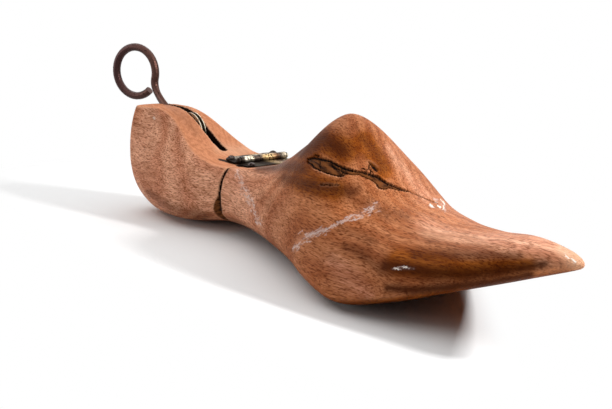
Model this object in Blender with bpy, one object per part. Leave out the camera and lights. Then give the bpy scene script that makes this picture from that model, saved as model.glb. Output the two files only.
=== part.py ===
"""Hinged beech shoe tree for a lady's pointed shoe, left foot.

A heel block folds up about a small steel hinge let into the saddle of the last, and a wire ring
pivoted in a slot pulls it out of the shoe. +X runs square to the hinge towards the toe, +Y to the
outer side of the foot and +Z up. The tree stands on the heel seat and the ball.
"""

import bpy
import bmesh
from math import acos, atan2, cos, pi, radians, sin
from mathutils import Matrix, Vector

# Last, overall
LAST_LENGTH = 0.2560
HEEL_WIDTH = 0.0465
WAIST_WIDTH = 0.0480
BALL_WIDTH = 0.0705
TOE_WIDTH = 0.0435

# Last, heights over the floor
HEEL_BACK_HEIGHT = 0.0235
HEEL_TOP_HEIGHT = 0.0553
SADDLE_HEIGHT = 0.0320
INSTEP_HEIGHT = 0.0615
ARCH_RISE = 0.0075
TOE_SPRING = 0.0288
TOE_DEPTH = 0.0070

# Last, how far its two ends curve to the inner side
HEEL_SWING = 0.0175
TOE_SWING = 0.0160

# Joint between the two blocks
JOINT_POSITION = 0.0798
JOINT_GAP = 0.0011
SAW_END = 0.1100
CUTTER_MARGIN = 0.0300

# Mesh of the wooden forms
HEEL_RINGS = 24
FORE_RINGS = 34
RING_POINTS = 48
SAW_STEPS = 48
ROUND_STEPS = 24
HOLE_STEPS = 16

# Flats that the tree stands on
REST_DEPTH = 0.0005

# Hinge
HINGE_POSITION = 0.0768
HINGE_OFFSET = 0.0019
HINGE_HEIGHT = 0.0339
BARREL_LENGTH = 0.0254
KNUCKLE_COUNT = 5
KNUCKLE_RADIUS = 0.0018
LEAF_LENGTH = 0.0114
LEAF_THICKNESS = 0.0006
LEAF_MARGIN = 0.0024
LEAF_CORNER = 0.0022
RECESS_ROOM = 0.0010
HEEL_LEAF_TILT = radians(7)
PIN_HEAD_RADIUS = 0.0015
PIN_HEAD_LENGTH = 0.0013

# Hinge screws
SCREW_SPACING = 0.0240
SCREW_SETBACK = 0.0084
SCREW_HEAD_RADIUS = 0.0018
SCREW_HEAD_HEIGHT = 0.0012
SCREW_SHANK_RADIUS = 0.0010
SCREW_LENGTH = 0.0100
SCREW_SLOT_WIDTH = 0.0005
HINGE_WIDTH = SCREW_SPACING + 2 * LEAF_MARGIN
PILOT_ROOM = 0.0024

# Slot in the heel block, measured along its own direction
SLOT_ANCHOR = 0.0350
SLOT_SIDE = 0.0078
SLOT_ANGLE = radians(6)
SLOT_WIDTH = 0.0032
SLOT_FLOOR = 0.0330
SLOT_FRONT = 0.0557
SLOT_WELL = 0.0120

# Ring handle: a round wire, beaten flat where it stands in the slot
WIRE_RADIUS = 0.00205
RING_RADIUS = 0.0131
RING_START = radians(-18.0)
RING_SWEEP = radians(330.0)
RING_TWIST = radians(19.5)
SHANK_REACH = 0.0325
SHANK_RISE = 0.0258
SHANK_SLOPE = radians(155.0)
SHANK_PULL = 0.0160
NECK_SLOPE = radians(75.0)
NECK_PULL = 0.0096
TONGUE_THICKNESS = 0.0012
TONGUE_HEIGHT = 0.0058
EYE_RADIUS = 0.0036
MOUTH_THICKNESS = 0.0024
MOUTH_HEIGHT = 0.0048

# Bracket that carries the handle
PIVOT_POSITION = 0.0285
PIVOT_RISE = 0.0085
PIVOT_HEIGHT = SLOT_FLOOR + PIVOT_RISE
RIVET_RADIUS = 0.0011
CHEEK_RADIUS = 0.0108
CHEEK_THICKNESS = 0.0004
BRACKET_SCREW_SPACING = 0.0130
BRACKET_SCREW_HEAD_RADIUS = 0.0008
BRACKET_SCREW_HEAD_HEIGHT = 0.0005
BRACKET_SCREW_SHANK_RADIUS = 0.0005
BRACKET_SCREW_LENGTH = 0.0060
BRACKET_SCREW_SLOT = 0.0003

# Room between pieces that touch, room round a turning pin, overshoot of a cutter past a face
FIT = 0.0003
RUNNING_FIT = 0.00007
OVERSHOOT = 0.0010

# Plan of the last: position share, width, its shares on the inner and outer side of the crest
PLAN_SHARES = (
    (0.00, HEEL_WIDTH, 0.00, 0.00),
    (0.02, HEEL_WIDTH, 0.335, 0.217),
    (0.06, HEEL_WIDTH, 0.413, 0.312),
    (0.12, HEEL_WIDTH, 0.501, 0.394),
    (0.20, HEEL_WIDTH, 0.557, 0.419),
    (0.235, HEEL_WIDTH, 0.540, 0.405),
    (0.28, HEEL_WIDTH, 0.510, 0.485),
    (0.36, WAIST_WIDTH, 0.490, 0.500),
    (0.43, WAIST_WIDTH, 0.540, 0.520),
    (0.50, BALL_WIDTH, 0.417, 0.376),
    (0.57, BALL_WIDTH, 0.468, 0.427),
    (0.64, BALL_WIDTH, 0.526, 0.472),
    (0.71, BALL_WIDTH, 0.533, 0.457),
    (0.78, BALL_WIDTH, 0.453, 0.387),
    (0.85, TOE_WIDTH, 0.538, 0.471),
    (0.92, TOE_WIDTH, 0.313, 0.271),
    (0.97, TOE_WIDTH, 0.170, 0.103),
    (1.00, TOE_WIDTH, 0.00, 0.00),
)

# Where the swing of the heel ends and that of the toe begins, and how each grows
HEEL_SWING_SHARE = 0.36
HEEL_SWING_POWER = 1.4
TOE_SWING_SHARE = 0.34
TOE_SWING_EASE_SHARE = 0.60

# Sole line: position share, height, share of it
SOLE_SHARES = (
    (0.00, HEEL_BACK_HEIGHT, 1.00),
    (0.02, HEEL_BACK_HEIGHT, 0.26),
    (0.06, HEEL_BACK_HEIGHT, 0.05),
    (0.12, HEEL_BACK_HEIGHT, 0.00),
    (0.20, ARCH_RISE, 0.15),
    (0.28, ARCH_RISE, 0.54),
    (0.36, ARCH_RISE, 0.53),
    (0.43, ARCH_RISE, 0.46),
    (0.50, ARCH_RISE, 0.30),
    (0.57, ARCH_RISE, 0.03),
    (0.64, TOE_SPRING, 0.00),
    (0.71, TOE_SPRING, 0.00),
    (0.78, TOE_SPRING, 0.185),
    (0.85, TOE_SPRING, 0.43),
    (0.92, TOE_SPRING, 0.67),
    (0.97, TOE_SPRING, 0.86),
    (1.00, TOE_SPRING, 1.00),
)

# Crest line: position share, height, share of it, share of the toe's depth above it
CREST_SHARES = (
    (0.00, HEEL_BACK_HEIGHT, 1.00, 0.0),
    (0.02, HEEL_TOP_HEIGHT, 1.17, 0.0),
    (0.06, HEEL_TOP_HEIGHT, 1.09, 0.0),
    (0.12, HEEL_TOP_HEIGHT, 0.99, 0.0),
    (0.20, HEEL_TOP_HEIGHT, 0.80, 0.0),
    (0.28, SADDLE_HEIGHT, 1.20, 0.0),
    (0.36, SADDLE_HEIGHT, 1.16, 0.0),
    (0.43, INSTEP_HEIGHT, 0.646, 0.0),
    (0.50, INSTEP_HEIGHT, 0.812, 0.0),
    (0.57, INSTEP_HEIGHT, 0.99, 0.0),
    (0.64, INSTEP_HEIGHT, 0.805, 0.0),
    (0.71, INSTEP_HEIGHT, 0.57, 0.0),
    (0.78, TOE_SPRING, 0.80, 1.0),
    (0.85, TOE_SPRING, 0.79, 1.0),
    (0.92, TOE_SPRING, 0.88, 1.0),
    (0.97, TOE_SPRING, 0.94, 0.75),
    (1.00, TOE_SPRING, 1.00, 0.0),
)

# Cross-section: position share, height share of the widest point, roundness of the crest on the
# inner side, on the outer side, and of the sole
SECTION_SHARES = (
    (0.00, 0.50, 2.00, 2.00, 2.00),
    (0.06, 0.37, 2.07, 2.07, 2.30),
    (0.12, 0.33, 2.12, 2.12, 2.60),
    (0.20, 0.32, 2.04, 2.04, 2.70),
    (0.235, 0.335, 2.15, 2.00, 2.62),
    (0.28, 0.35, 2.55, 2.60, 2.50),
    (0.36, 0.35, 2.50, 2.60, 2.40),
    (0.43, 0.33, 1.95, 1.95, 2.40),
    (0.50, 0.28, 1.73, 1.73, 2.50),
    (0.57, 0.25, 1.65, 1.65, 2.60),
    (0.64, 0.22, 1.80, 1.80, 2.80),
    (0.71, 0.22, 1.94, 1.94, 3.00),
    (0.85, 0.29, 2.00, 2.00, 3.00),
    (0.92, 0.35, 2.00, 2.00, 2.80),
    (1.00, 0.50, 2.00, 2.00, 2.00),
)

# Sawn line over heel and saddle: share of the way to the hinge, share of the drop to the saddle
SAW_SHARES = (
    (0.00, 0.00),
    (0.10, 0.01),
    (0.20, 0.02),
    (0.29, 0.05),
    (0.37, 0.13),
    (0.46, 0.29),
    (0.55, 0.50),
    (0.65, 0.72),
    (0.76, 0.88),
    (0.88, 0.97),
    (1.00, 1.00),
    (1.12, 0.985),
    (1.24, 0.94),
    (1.36, 0.86),
    (1.55, 0.70),
)


def clear_scene():
    """Remove whatever the open scene holds."""
    for item in list(bpy.data.objects):
        bpy.data.objects.remove(item, do_unlink=True)


def new_collection(name):
    """Make a collection in the scene."""
    collection = bpy.data.collections.new(name)
    bpy.context.scene.collection.children.link(collection)
    return collection


def new_material(name, colour, roughness, metallic):
    """Make a plain Principled material."""
    material = bpy.data.materials.new(name)
    material.use_nodes = True
    shader = material.node_tree.nodes["Principled BSDF"]
    shader.inputs["Base Color"].default_value = (*colour, 1.0)
    shader.inputs["Roughness"].default_value = roughness
    shader.inputs["Metallic"].default_value = metallic
    material.diffuse_color = (*colour, 1.0)
    return material


def add_object(name, mesh, collection, material=None):
    """Put a mesh in the scene as an object of its own."""
    item = bpy.data.objects.new(name, mesh)
    collection.objects.link(item)
    if material:
        mesh.materials.append(material)
    return item


def smooth_shade(item, angle=radians(35)):
    """Shade an object smooth, with edges sharper than the angle left crisp."""
    item.data.shade_smooth()
    item.data.set_sharp_from_angle(angle=angle)


def mesh_from_bmesh(name, shape):
    """Turn a bmesh into a mesh with its faces pointing out."""
    bmesh.ops.recalc_face_normals(shape, faces=shape.faces)
    mesh = bpy.data.meshes.new(name)
    shape.to_mesh(mesh)
    shape.free()
    return mesh


def mesh_from_curve(item):
    """Replace a curve object by the closed mesh that it evaluates to."""
    graph = bpy.context.evaluated_depsgraph_get()
    graph.update()
    mesh = bpy.data.meshes.new_from_object(item.evaluated_get(graph))
    matrix = item.matrix_world.copy()
    curve = item.data
    bpy.data.objects.remove(item, do_unlink=True)
    bpy.data.curves.remove(curve)
    shape = bmesh.new()
    shape.from_mesh(mesh)
    bmesh.ops.remove_doubles(shape, verts=shape.verts, dist=0.000001)
    bmesh.ops.transform(shape, matrix=matrix, verts=shape.verts)
    bmesh.ops.recalc_face_normals(shape, faces=shape.faces)
    shape.to_mesh(mesh)
    shape.free()
    return mesh


def profile_mesh(name, outline, width, collection):
    """Extrude an outline in the XZ plane to both sides of it."""
    curve = bpy.data.curves.new(name, "CURVE")
    curve.dimensions = "2D"
    curve.fill_mode = "BOTH"
    curve.extrude = width / 2
    spline = curve.splines.new("POLY")
    spline.points.add(len(outline) - 1)
    for point, (x, z) in zip(spline.points, outline):
        point.co = (x, z, 0, 1)
    spline.use_cyclic_u = True
    item = add_object(name, curve, collection)
    item.rotation_euler = (pi / 2, 0, 0)
    return mesh_from_curve(item)


def box_mesh(name, low, high):
    """Make a box between two corners."""
    shape = bmesh.new()
    bmesh.ops.create_cube(shape, size=1)
    size = Vector(high) - Vector(low)
    middle = (Vector(high) + Vector(low)) / 2
    bmesh.ops.transform(shape, matrix=Matrix.LocRotScale(middle, None, size), verts=shape.verts)
    return mesh_from_bmesh(name, shape)


def rod_mesh(name, radius, start, end, steps=ROUND_STEPS):
    """Make a round rod between two points."""
    start = Vector(start)
    run = Vector(end) - start
    shape = bmesh.new()
    sizes = {"radius1": radius, "radius2": radius, "depth": run.length}
    bmesh.ops.create_cone(shape, cap_ends=True, segments=steps, **sizes)
    turn = run.to_track_quat("Z", "Y")
    matrix = Matrix.LocRotScale(start + run / 2, turn, None)
    bmesh.ops.transform(shape, matrix=matrix, verts=shape.verts)
    return mesh_from_bmesh(name, shape)


def cut(item, mesh, collection, matrix=None, operation="DIFFERENCE"):
    """Cut an object with a mesh, which stays in the scene as a hidden cutter."""
    cutter = add_object(mesh.name, mesh, collection)
    if matrix:
        cutter.matrix_world = matrix
    cutter.display_type = "WIRE"
    cutter.hide_render = True
    step = item.modifiers.new(mesh.name, "BOOLEAN")
    step.operation = operation
    step.solver = "EXACT"
    step.object = cutter
    return cutter


def smooth_value(keys, value):
    """Read a smooth curve through rising key points."""
    count = len(keys)
    runs = [keys[i + 1][0] - keys[i][0] for i in range(count - 1)]
    rises = [(keys[i + 1][1] - keys[i][1]) / runs[i] for i in range(count - 1)]
    slopes = [0.0] * count
    for i in range(1, count - 1):
        slopes[i] = (rises[i - 1] * runs[i] + rises[i] * runs[i - 1]) / (runs[i - 1] + runs[i])
    slopes[0] = 2 * rises[0] - slopes[1]
    slopes[-1] = 2 * rises[-1] - slopes[-2]
    index = 0
    while index < count - 2 and value > keys[index + 1][0]:
        index += 1
    run = runs[index]
    t = (value - keys[index][0]) / run
    s = 1 - t
    ends = keys[index][1] * (1 + 2 * t) * s * s + keys[index + 1][1] * t * t * (1 + 2 * s)
    return ends + run * t * s * (slopes[index] * s - slopes[index + 1] * t)


def station(share):
    """Spread position shares so that the round ends of the last get close rings."""
    return acos(1 - 2 * share) / pi


def line_keys(table, size):
    """Key points of one line of the last from its table."""
    return [(station(row[0]), size(row)) for row in table]


def crest_offset(share):
    """Sideways place of the crest line, which curves to the inner side at both ends."""
    back = max(0.0, 1 - share / HEEL_SWING_SHARE)
    front = max(0.0, (share - TOE_SWING_SHARE) / (1 - TOE_SWING_SHARE))
    ease = (1 - TOE_SWING_EASE_SHARE) * front + TOE_SWING_EASE_SHARE * front * front
    return -HEEL_SWING * back ** HEEL_SWING_POWER - TOE_SWING * ease


def last_section(share):
    """Corner heights, half widths and roundness of the last at a position share."""
    t = station(share)
    inner = smooth_value(line_keys(PLAN_SHARES, lambda row: row[1] * row[2]), t)
    outer = smooth_value(line_keys(PLAN_SHARES, lambda row: row[1] * row[3]), t)
    middle = crest_offset(share)
    sole = smooth_value(line_keys(SOLE_SHARES, lambda row: row[1] * row[2]), t)
    crest = smooth_value(line_keys(CREST_SHARES, lambda row: row[1] * row[2] + TOE_DEPTH * row[3]), t)
    belly = smooth_value(line_keys(SECTION_SHARES, lambda row: row[1]), t)
    inner_power = smooth_value(line_keys(SECTION_SHARES, lambda row: row[2]), t)
    outer_power = smooth_value(line_keys(SECTION_SHARES, lambda row: row[3]), t)
    sole_power = smooth_value(line_keys(SECTION_SHARES, lambda row: row[4]), t)
    return inner, outer, middle, sole, crest, belly, inner_power, outer_power, sole_power


def section_points(share, count):
    """One ring of points round the last."""
    inner, outer, middle, sole, crest, belly, inner_power, outer_power, sole_power = last_section(share)
    waist = sole + belly * (crest - sole)
    points = []
    for index in range(count):
        angle = 2 * pi * (index + 0.5) / count
        across, up = cos(angle), sin(angle)
        crest_power = outer_power if across > 0 else inner_power
        power = crest_power if up > 0 else sole_power
        reach = outer if across > 0 else inner
        tall = crest - waist if up > 0 else waist - sole
        y = middle + reach * (1 if across > 0 else -1) * abs(across) ** (2 / power)
        z = waist + tall * (1 if up > 0 else -1) * abs(up) ** (2 / power)
        points.append(Vector((share * LAST_LENGTH, y, max(z, REST_DEPTH))))
    return points


def loft_mesh(name, rings, tip=None):
    """Close a body round a row of point rings, with a flat end or a tip."""
    shape = bmesh.new()
    loops = [[shape.verts.new(point) for point in ring] for ring in rings]
    count = len(loops[0])
    for loop, following in zip(loops, loops[1:]):
        for index in range(count):
            after = (index + 1) % count
            shape.faces.new((loop[index], loop[after], following[after], following[index]))
    shape.faces.new(loops[0])
    if tip:
        end = shape.verts.new(tip)
        for index in range(count):
            shape.faces.new((loops[-1][index], loops[-1][(index + 1) % count], end))
    else:
        shape.faces.new(loops[-1])
    return mesh_from_bmesh(name, shape)


def last_block(name, shares, tip_share, collection, material):
    """Loft one block of the last from its joint face to the point at its round end."""
    height = TOE_SPRING if tip_share else HEEL_BACK_HEIGHT
    tip = Vector((tip_share * LAST_LENGTH, crest_offset(tip_share), height))
    rings = [section_points(share, RING_POINTS) for share in shares]
    block = add_object(name, loft_mesh(name, rings, tip), collection, material)
    smooth_shade(block)
    return block


def saw_height(x):
    """Height of the sawn line at a position."""
    fall = HEEL_TOP_HEIGHT - SADDLE_HEIGHT
    keys = [(share * HINGE_POSITION, HEEL_TOP_HEIGHT - drop * fall) for share, drop in SAW_SHARES]
    return smooth_value(keys, x)


def saw_mesh(collection):
    """Everything that the band saw takes off above heel and saddle."""
    line = [SAW_END * index / SAW_STEPS for index in range(SAW_STEPS + 1)]
    outline = [(x, saw_height(x)) for x in line]
    top = HEEL_TOP_HEIGHT + CUTTER_MARGIN
    outline = [(-CUTTER_MARGIN, HEEL_TOP_HEIGHT)] + outline + [(SAW_END + FIT, top), (-CUTTER_MARGIN, top)]
    return profile_mesh("saw_waste", outline, BALL_WIDTH + CUTTER_MARGIN, collection)


def slot_matrix():
    """Frame of the slot: its own X runs along it, its origin is at its position zero."""
    turn = Matrix.Rotation(SLOT_ANGLE, 4, "Z")
    anchor = Vector((SLOT_ANCHOR, -SLOT_SIDE, 0))
    start = anchor - turn @ Vector((SLOT_ANCHOR, 0, 0))
    return Matrix.Translation(start) @ turn


def blend(low, high, value):
    """Ease from zero to one between two values."""
    share = min(1.0, max(0.0, (value - low) / (high - low)))
    return share * share * (3 - 2 * share)


def shank_path():
    """Shank of the handle in the slot's frame: points with half thickness and half height."""
    pivot = Vector((PIVOT_POSITION, 0, PIVOT_HEIGHT))
    neck = pivot + Vector((-SHANK_REACH, 0, SHANK_RISE))
    away = Vector((cos(SHANK_SLOPE), 0, sin(SHANK_SLOPE)))
    first = pivot + SHANK_PULL * away
    second = neck - NECK_PULL * Vector((cos(NECK_SLOPE), 0, sin(NECK_SLOPE)))
    rows = []
    for angle in (80, 65, 50, 35, 20):
        rise = EYE_RADIUS * cos(radians(angle))
        rows.append((pivot - EYE_RADIUS * sin(radians(angle)) * away, TONGUE_THICKNESS / 2, rise))
    steps = 22
    for index in range(steps + 1):
        t = index / steps
        s = 1 - t
        point = s ** 3 * pivot + 3 * s * s * t * first + 3 * s * t * t * second + t ** 3 * neck
        narrow = blend(0.0, 0.12, t)
        wide = blend(0.30, 0.58, t)
        round_share = blend(0.62, 0.95, t)
        thick = TONGUE_THICKNESS + (MOUTH_THICKNESS - TONGUE_THICKNESS) * wide
        tall = 2 * EYE_RADIUS + (TONGUE_HEIGHT - 2 * EYE_RADIUS) * narrow
        tall += (MOUTH_HEIGHT - TONGUE_HEIGHT) * wide
        thick += (2 * WIRE_RADIUS - thick) * round_share
        tall += (2 * WIRE_RADIUS - tall) * round_share
        rows.append((point, thick / 2, tall / 2))
    return rows


def handle_path():
    """Whole wire of the handle in the slot's frame, from the eye to the end of the ring."""
    rows = shank_path()
    neck = rows[-1][0]
    across = Vector((cos(RING_TWIST), sin(RING_TWIST), 0))
    up = Vector((0, 0, 1))
    centre = neck - RING_RADIUS * (cos(RING_START) * across + sin(RING_START) * up)
    turns = 40
    for index in range(1, turns + 1):
        angle = RING_START + RING_SWEEP * index / turns
        spoke = RING_RADIUS * (cos(angle) * across + sin(angle) * up)
        rows.append((centre + spoke, WIRE_RADIUS, WIRE_RADIUS))
    return rows


def handle_rings(rows, count):
    """Sections square to the wire, kept from turning on it."""
    side = Vector((0, 1, 0))
    rings = []
    for index, (point, thick, tall) in enumerate(rows):
        before = rows[max(index - 1, 0)][0]
        after = rows[min(index + 1, len(rows) - 1)][0]
        run = (after - before).normalized()
        side = (side - side.dot(run) * run).normalized()
        rise = side.cross(run)
        ring = []
        for corner in range(count):
            angle = 2 * pi * (corner + 0.5) / count
            ring.append(point + thick * cos(angle) * side + tall * sin(angle) * rise)
        rings.append(ring)
    return rings


def slot_mesh(collection):
    """Kerf of the slot, whose rear wall the shank of the handle leans on."""
    rows = shank_path()
    well = PIVOT_POSITION - SLOT_WELL
    rear = []
    for (before, _, _), (point, _, tall) in zip(rows, rows[1:]):
        run = (point - before).normalized()
        spot = (point.x - run.z * (tall + FIT), point.z + run.x * (tall + FIT))
        if spot[1] < HEEL_TOP_HEIGHT + OVERSHOOT and spot[0] < well:
            rear.append(spot)
    top = HEEL_TOP_HEIGHT + CUTTER_MARGIN
    outline = [(rear[-1][0], top)] + rear[::-1]
    outline += [(rear[0][0], SLOT_FLOOR), (SLOT_FRONT, SLOT_FLOOR), (SLOT_FRONT, top)]
    return profile_mesh("slot_kerf", outline, SLOT_WIDTH, collection)


def hinge_matrix(side):
    """Frame of a hinge leaf: the pin runs along its Y, and the heel's leaf rises with the saddle."""
    tilt = HEEL_LEAF_TILT if side < 0 else 0
    place = Matrix.Translation((HINGE_POSITION, HINGE_OFFSET, HINGE_HEIGHT))
    return place @ Matrix.Rotation(tilt, 4, "Y")


def build_wood(collection, cutters, wood):
    """Heel block and forepart, cut from one last."""
    joint = JOINT_POSITION / LAST_LENGTH
    half_gap = JOINT_GAP / 2 / LAST_LENGTH
    rear = station(joint - half_gap)
    front = station(joint + half_gap)
    shares = [(1 - cos(pi * rear * (1 - i / HEEL_RINGS))) / 2 for i in range(HEEL_RINGS)]
    heel = last_block("heel_block", shares, 0, collection, wood)
    shares = [(1 - cos(pi * (front + (1 - front) * i / FORE_RINGS))) / 2 for i in range(FORE_RINGS)]
    fore = last_block("forepart", shares, 1, collection, wood)
    recess_reach = LEAF_LENGTH + RECESS_ROOM
    recess_near = HINGE_WIDTH / 2 + RECESS_ROOM
    recess_low = (-recess_reach, -recess_near, -KNUCKLE_RADIUS - FIT)
    recess_high = (recess_reach, HINGE_WIDTH / 2 + CUTTER_MARGIN, HEEL_TOP_HEIGHT - HINGE_HEIGHT)
    for block in (heel, fore):
        cut(block, saw_mesh(cutters), cutters)
        side = -1 if block is heel else 1
        frame = hinge_matrix(side)
        cut(block, box_mesh("hinge_recess", recess_low, recess_high), cutters, frame)
        for place in (-1, 1):
            x = side * SCREW_SETBACK
            y = place * SCREW_SPACING / 2
            foot = (x, y, -SCREW_LENGTH - PILOT_ROOM)
            hole = rod_mesh("pilot_hole", SCREW_SHANK_RADIUS + FIT, foot, (x, y, OVERSHOOT), HOLE_STEPS)
            cut(block, hole, cutters, frame)
    cut(heel, slot_mesh(cutters), cutters, slot_matrix())
    for place in (-1, 1):
        x = PIVOT_POSITION + place * BRACKET_SCREW_SPACING / 2
        foot = (x, 0, SLOT_FLOOR - BRACKET_SCREW_LENGTH - FIT)
        mouth = (x, 0, SLOT_FLOOR + OVERSHOOT)
        hole = rod_mesh("bracket_hole", BRACKET_SCREW_SHANK_RADIUS + FIT, foot, mouth, HOLE_STEPS)
        cut(heel, hole, cutters, slot_matrix())
    return heel, fore


def leaf_outline():
    """Side view of a hinge leaf: a flat plate that curls round the pin."""
    inner = KNUCKLE_RADIUS - LEAF_THICKNESS
    steps = 24
    curl = radians(300)
    outer_arc = []
    inner_arc = []
    for index in range(steps + 1):
        angle = -pi / 2 + curl * index / steps
        outer_arc.append((KNUCKLE_RADIUS * cos(angle), KNUCKLE_RADIUS * sin(angle)))
        inner_arc.append((inner * cos(angle), inner * sin(angle)))
    tail = [(-LEAF_LENGTH, -KNUCKLE_RADIUS + LEAF_THICKNESS), (-LEAF_LENGTH, -KNUCKLE_RADIUS)]
    return outer_arc + inner_arc[::-1] + tail


def build_leaf(name, side, collection, cutters, steel):
    """One pressed leaf, with knuckles on every other place of the barrel."""
    mesh = profile_mesh(name, [(-side * x, z) for x, z in leaf_outline()], HINGE_WIDTH, collection)
    leaf = add_object(name, mesh, collection, steel)
    place = hinge_matrix(side)
    leaf.matrix_world = place
    pitch = BARREL_LENGTH / KNUCKLE_COUNT
    reach = KNUCKLE_RADIUS + FIT
    own = 0 if side > 0 else 1
    edges = []
    for index in range(KNUCKLE_COUNT):
        if index % 2 != own:
            low = -BARREL_LENGTH / 2 + pitch * index - FIT / 2
            high = low + pitch + FIT
            edges.append((low, high))
    outside = HINGE_WIDTH / 2 + OVERSHOOT
    first_low = -BARREL_LENGTH / 2 + (0 if own == 0 else -FIT)
    edges.append((-outside, first_low + FIT / 2))
    edges.append((BARREL_LENGTH / 2 - FIT / 2, outside))
    below = -KNUCKLE_RADIUS - OVERSHOOT
    above = KNUCKLE_RADIUS + OVERSHOOT
    for low, high in edges:
        notch = box_mesh("knuckle_notch", (-reach, low, below), (reach, high, above))
        cut(leaf, notch, cutters, place)
    for spot in (-1, 1):
        x = side * SCREW_SETBACK
        y = spot * SCREW_SPACING / 2
        hole = rod_mesh("leaf_hole", SCREW_SHANK_RADIUS + FIT, (x, y, below), (x, y, 0), HOLE_STEPS)
        cut(leaf, hole, cutters, place)
        corner = Matrix.Translation((side * LEAF_LENGTH, spot * HINGE_WIDTH / 2, 0))
        turn = Matrix.Rotation(atan2(spot, side), 4, "Z")
        low = (-LEAF_CORNER * cos(pi / 4), -2 * LEAF_CORNER, below)
        clip = box_mesh("corner_clip", low, (LEAF_CORNER, 2 * LEAF_CORNER, above))
        cut(leaf, clip, cutters, place @ corner @ turn)
    return leaf


def turned_mesh(name, profile, steps):
    """Turn a profile of radius and height, which runs down its outer side, round Z."""
    shape = bmesh.new()
    verts = [shape.verts.new((radius, 0, height)) for radius, height in profile]
    for first, second in zip(verts, verts[1:]):
        shape.edges.new((first, second))
    line = shape.verts[:] + shape.edges[:]
    bmesh.ops.spin(shape, geom=line, cent=(0, 0, 0), axis=(0, 0, 1), angle=2 * pi, steps=steps)
    bmesh.ops.remove_doubles(shape, verts=shape.verts, dist=0.000001)
    return mesh_from_bmesh(name, shape)


def build_screw(name, sizes, collection, cutters, steel):
    """Round-headed wood screw with a driver slot, standing on its head seat."""
    head_radius, head_height, shank_radius, length, slot_width = sizes
    dome = [(head_radius * sin(a), head_height * cos(a)) for a in (0, pi / 8, pi / 4, 3 * pi / 8, pi / 2)]
    shank = [(shank_radius, 0), (shank_radius, -length * 0.8), (0, -length)]
    screw = add_object(name, turned_mesh(name, dome + shank, 16), collection, steel)
    wide = head_radius + OVERSHOOT
    low = (-slot_width / 2, -wide, head_height / 2)
    slot = box_mesh("driver_slot", low, (slot_width / 2, wide, head_height + OVERSHOOT))
    smooth_shade(screw)
    return screw, cut(screw, slot, cutters)


def build_hinge(collection, cutters, steel):
    """Two leaves, the riveted pin and four screws."""
    fore_leaf = build_leaf("hinge_leaf_fore", 1, collection, cutters, steel)
    heel_leaf = build_leaf("hinge_leaf_heel", -1, collection, cutters, steel)
    end = BARREL_LENGTH / 2 + FIT
    pin_radius = KNUCKLE_RADIUS - LEAF_THICKNESS - RUNNING_FIT
    head = [(0, end + PIN_HEAD_LENGTH)]
    for angle in (pi / 6, pi / 3, pi / 2):
        head.append((PIN_HEAD_RADIUS * sin(angle), end + PIN_HEAD_LENGTH * (0.35 + 0.65 * cos(angle))))
    half = head + [(PIN_HEAD_RADIUS, end), (pin_radius, end)]
    profile = half + [(radius, -height) for radius, height in reversed(half)]
    pin = add_object("hinge_pin", turned_mesh("hinge_pin", profile, ROUND_STEPS), collection, steel)
    pin.rotation_euler = (pi / 2, 0, 0)
    pin.location = (HINGE_POSITION, HINGE_OFFSET, HINGE_HEIGHT)
    screws = []
    seat = -KNUCKLE_RADIUS + LEAF_THICKNESS + FIT
    sizes = (SCREW_HEAD_RADIUS, SCREW_HEAD_HEIGHT, SCREW_SHANK_RADIUS, SCREW_LENGTH, SCREW_SLOT_WIDTH)
    for block, side in (("fore", 1), ("heel", -1)):
        for edge, place in (("inner", -1), ("outer", 1)):
            name = "hinge_screw_" + block + "_" + edge
            screw, slot = build_screw(name, sizes, collection, cutters, steel)
            spot = Vector((side * SCREW_SETBACK, place * SCREW_SPACING / 2, seat))
            turn = Matrix.Rotation(radians(35) * place + radians(15) * side, 4, "Z")
            screw.matrix_world = hinge_matrix(side) @ Matrix.Translation(spot) @ turn
            slot.parent = screw
            screws.append(screw)
    return fore_leaf, heel_leaf, pin, screws


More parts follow.
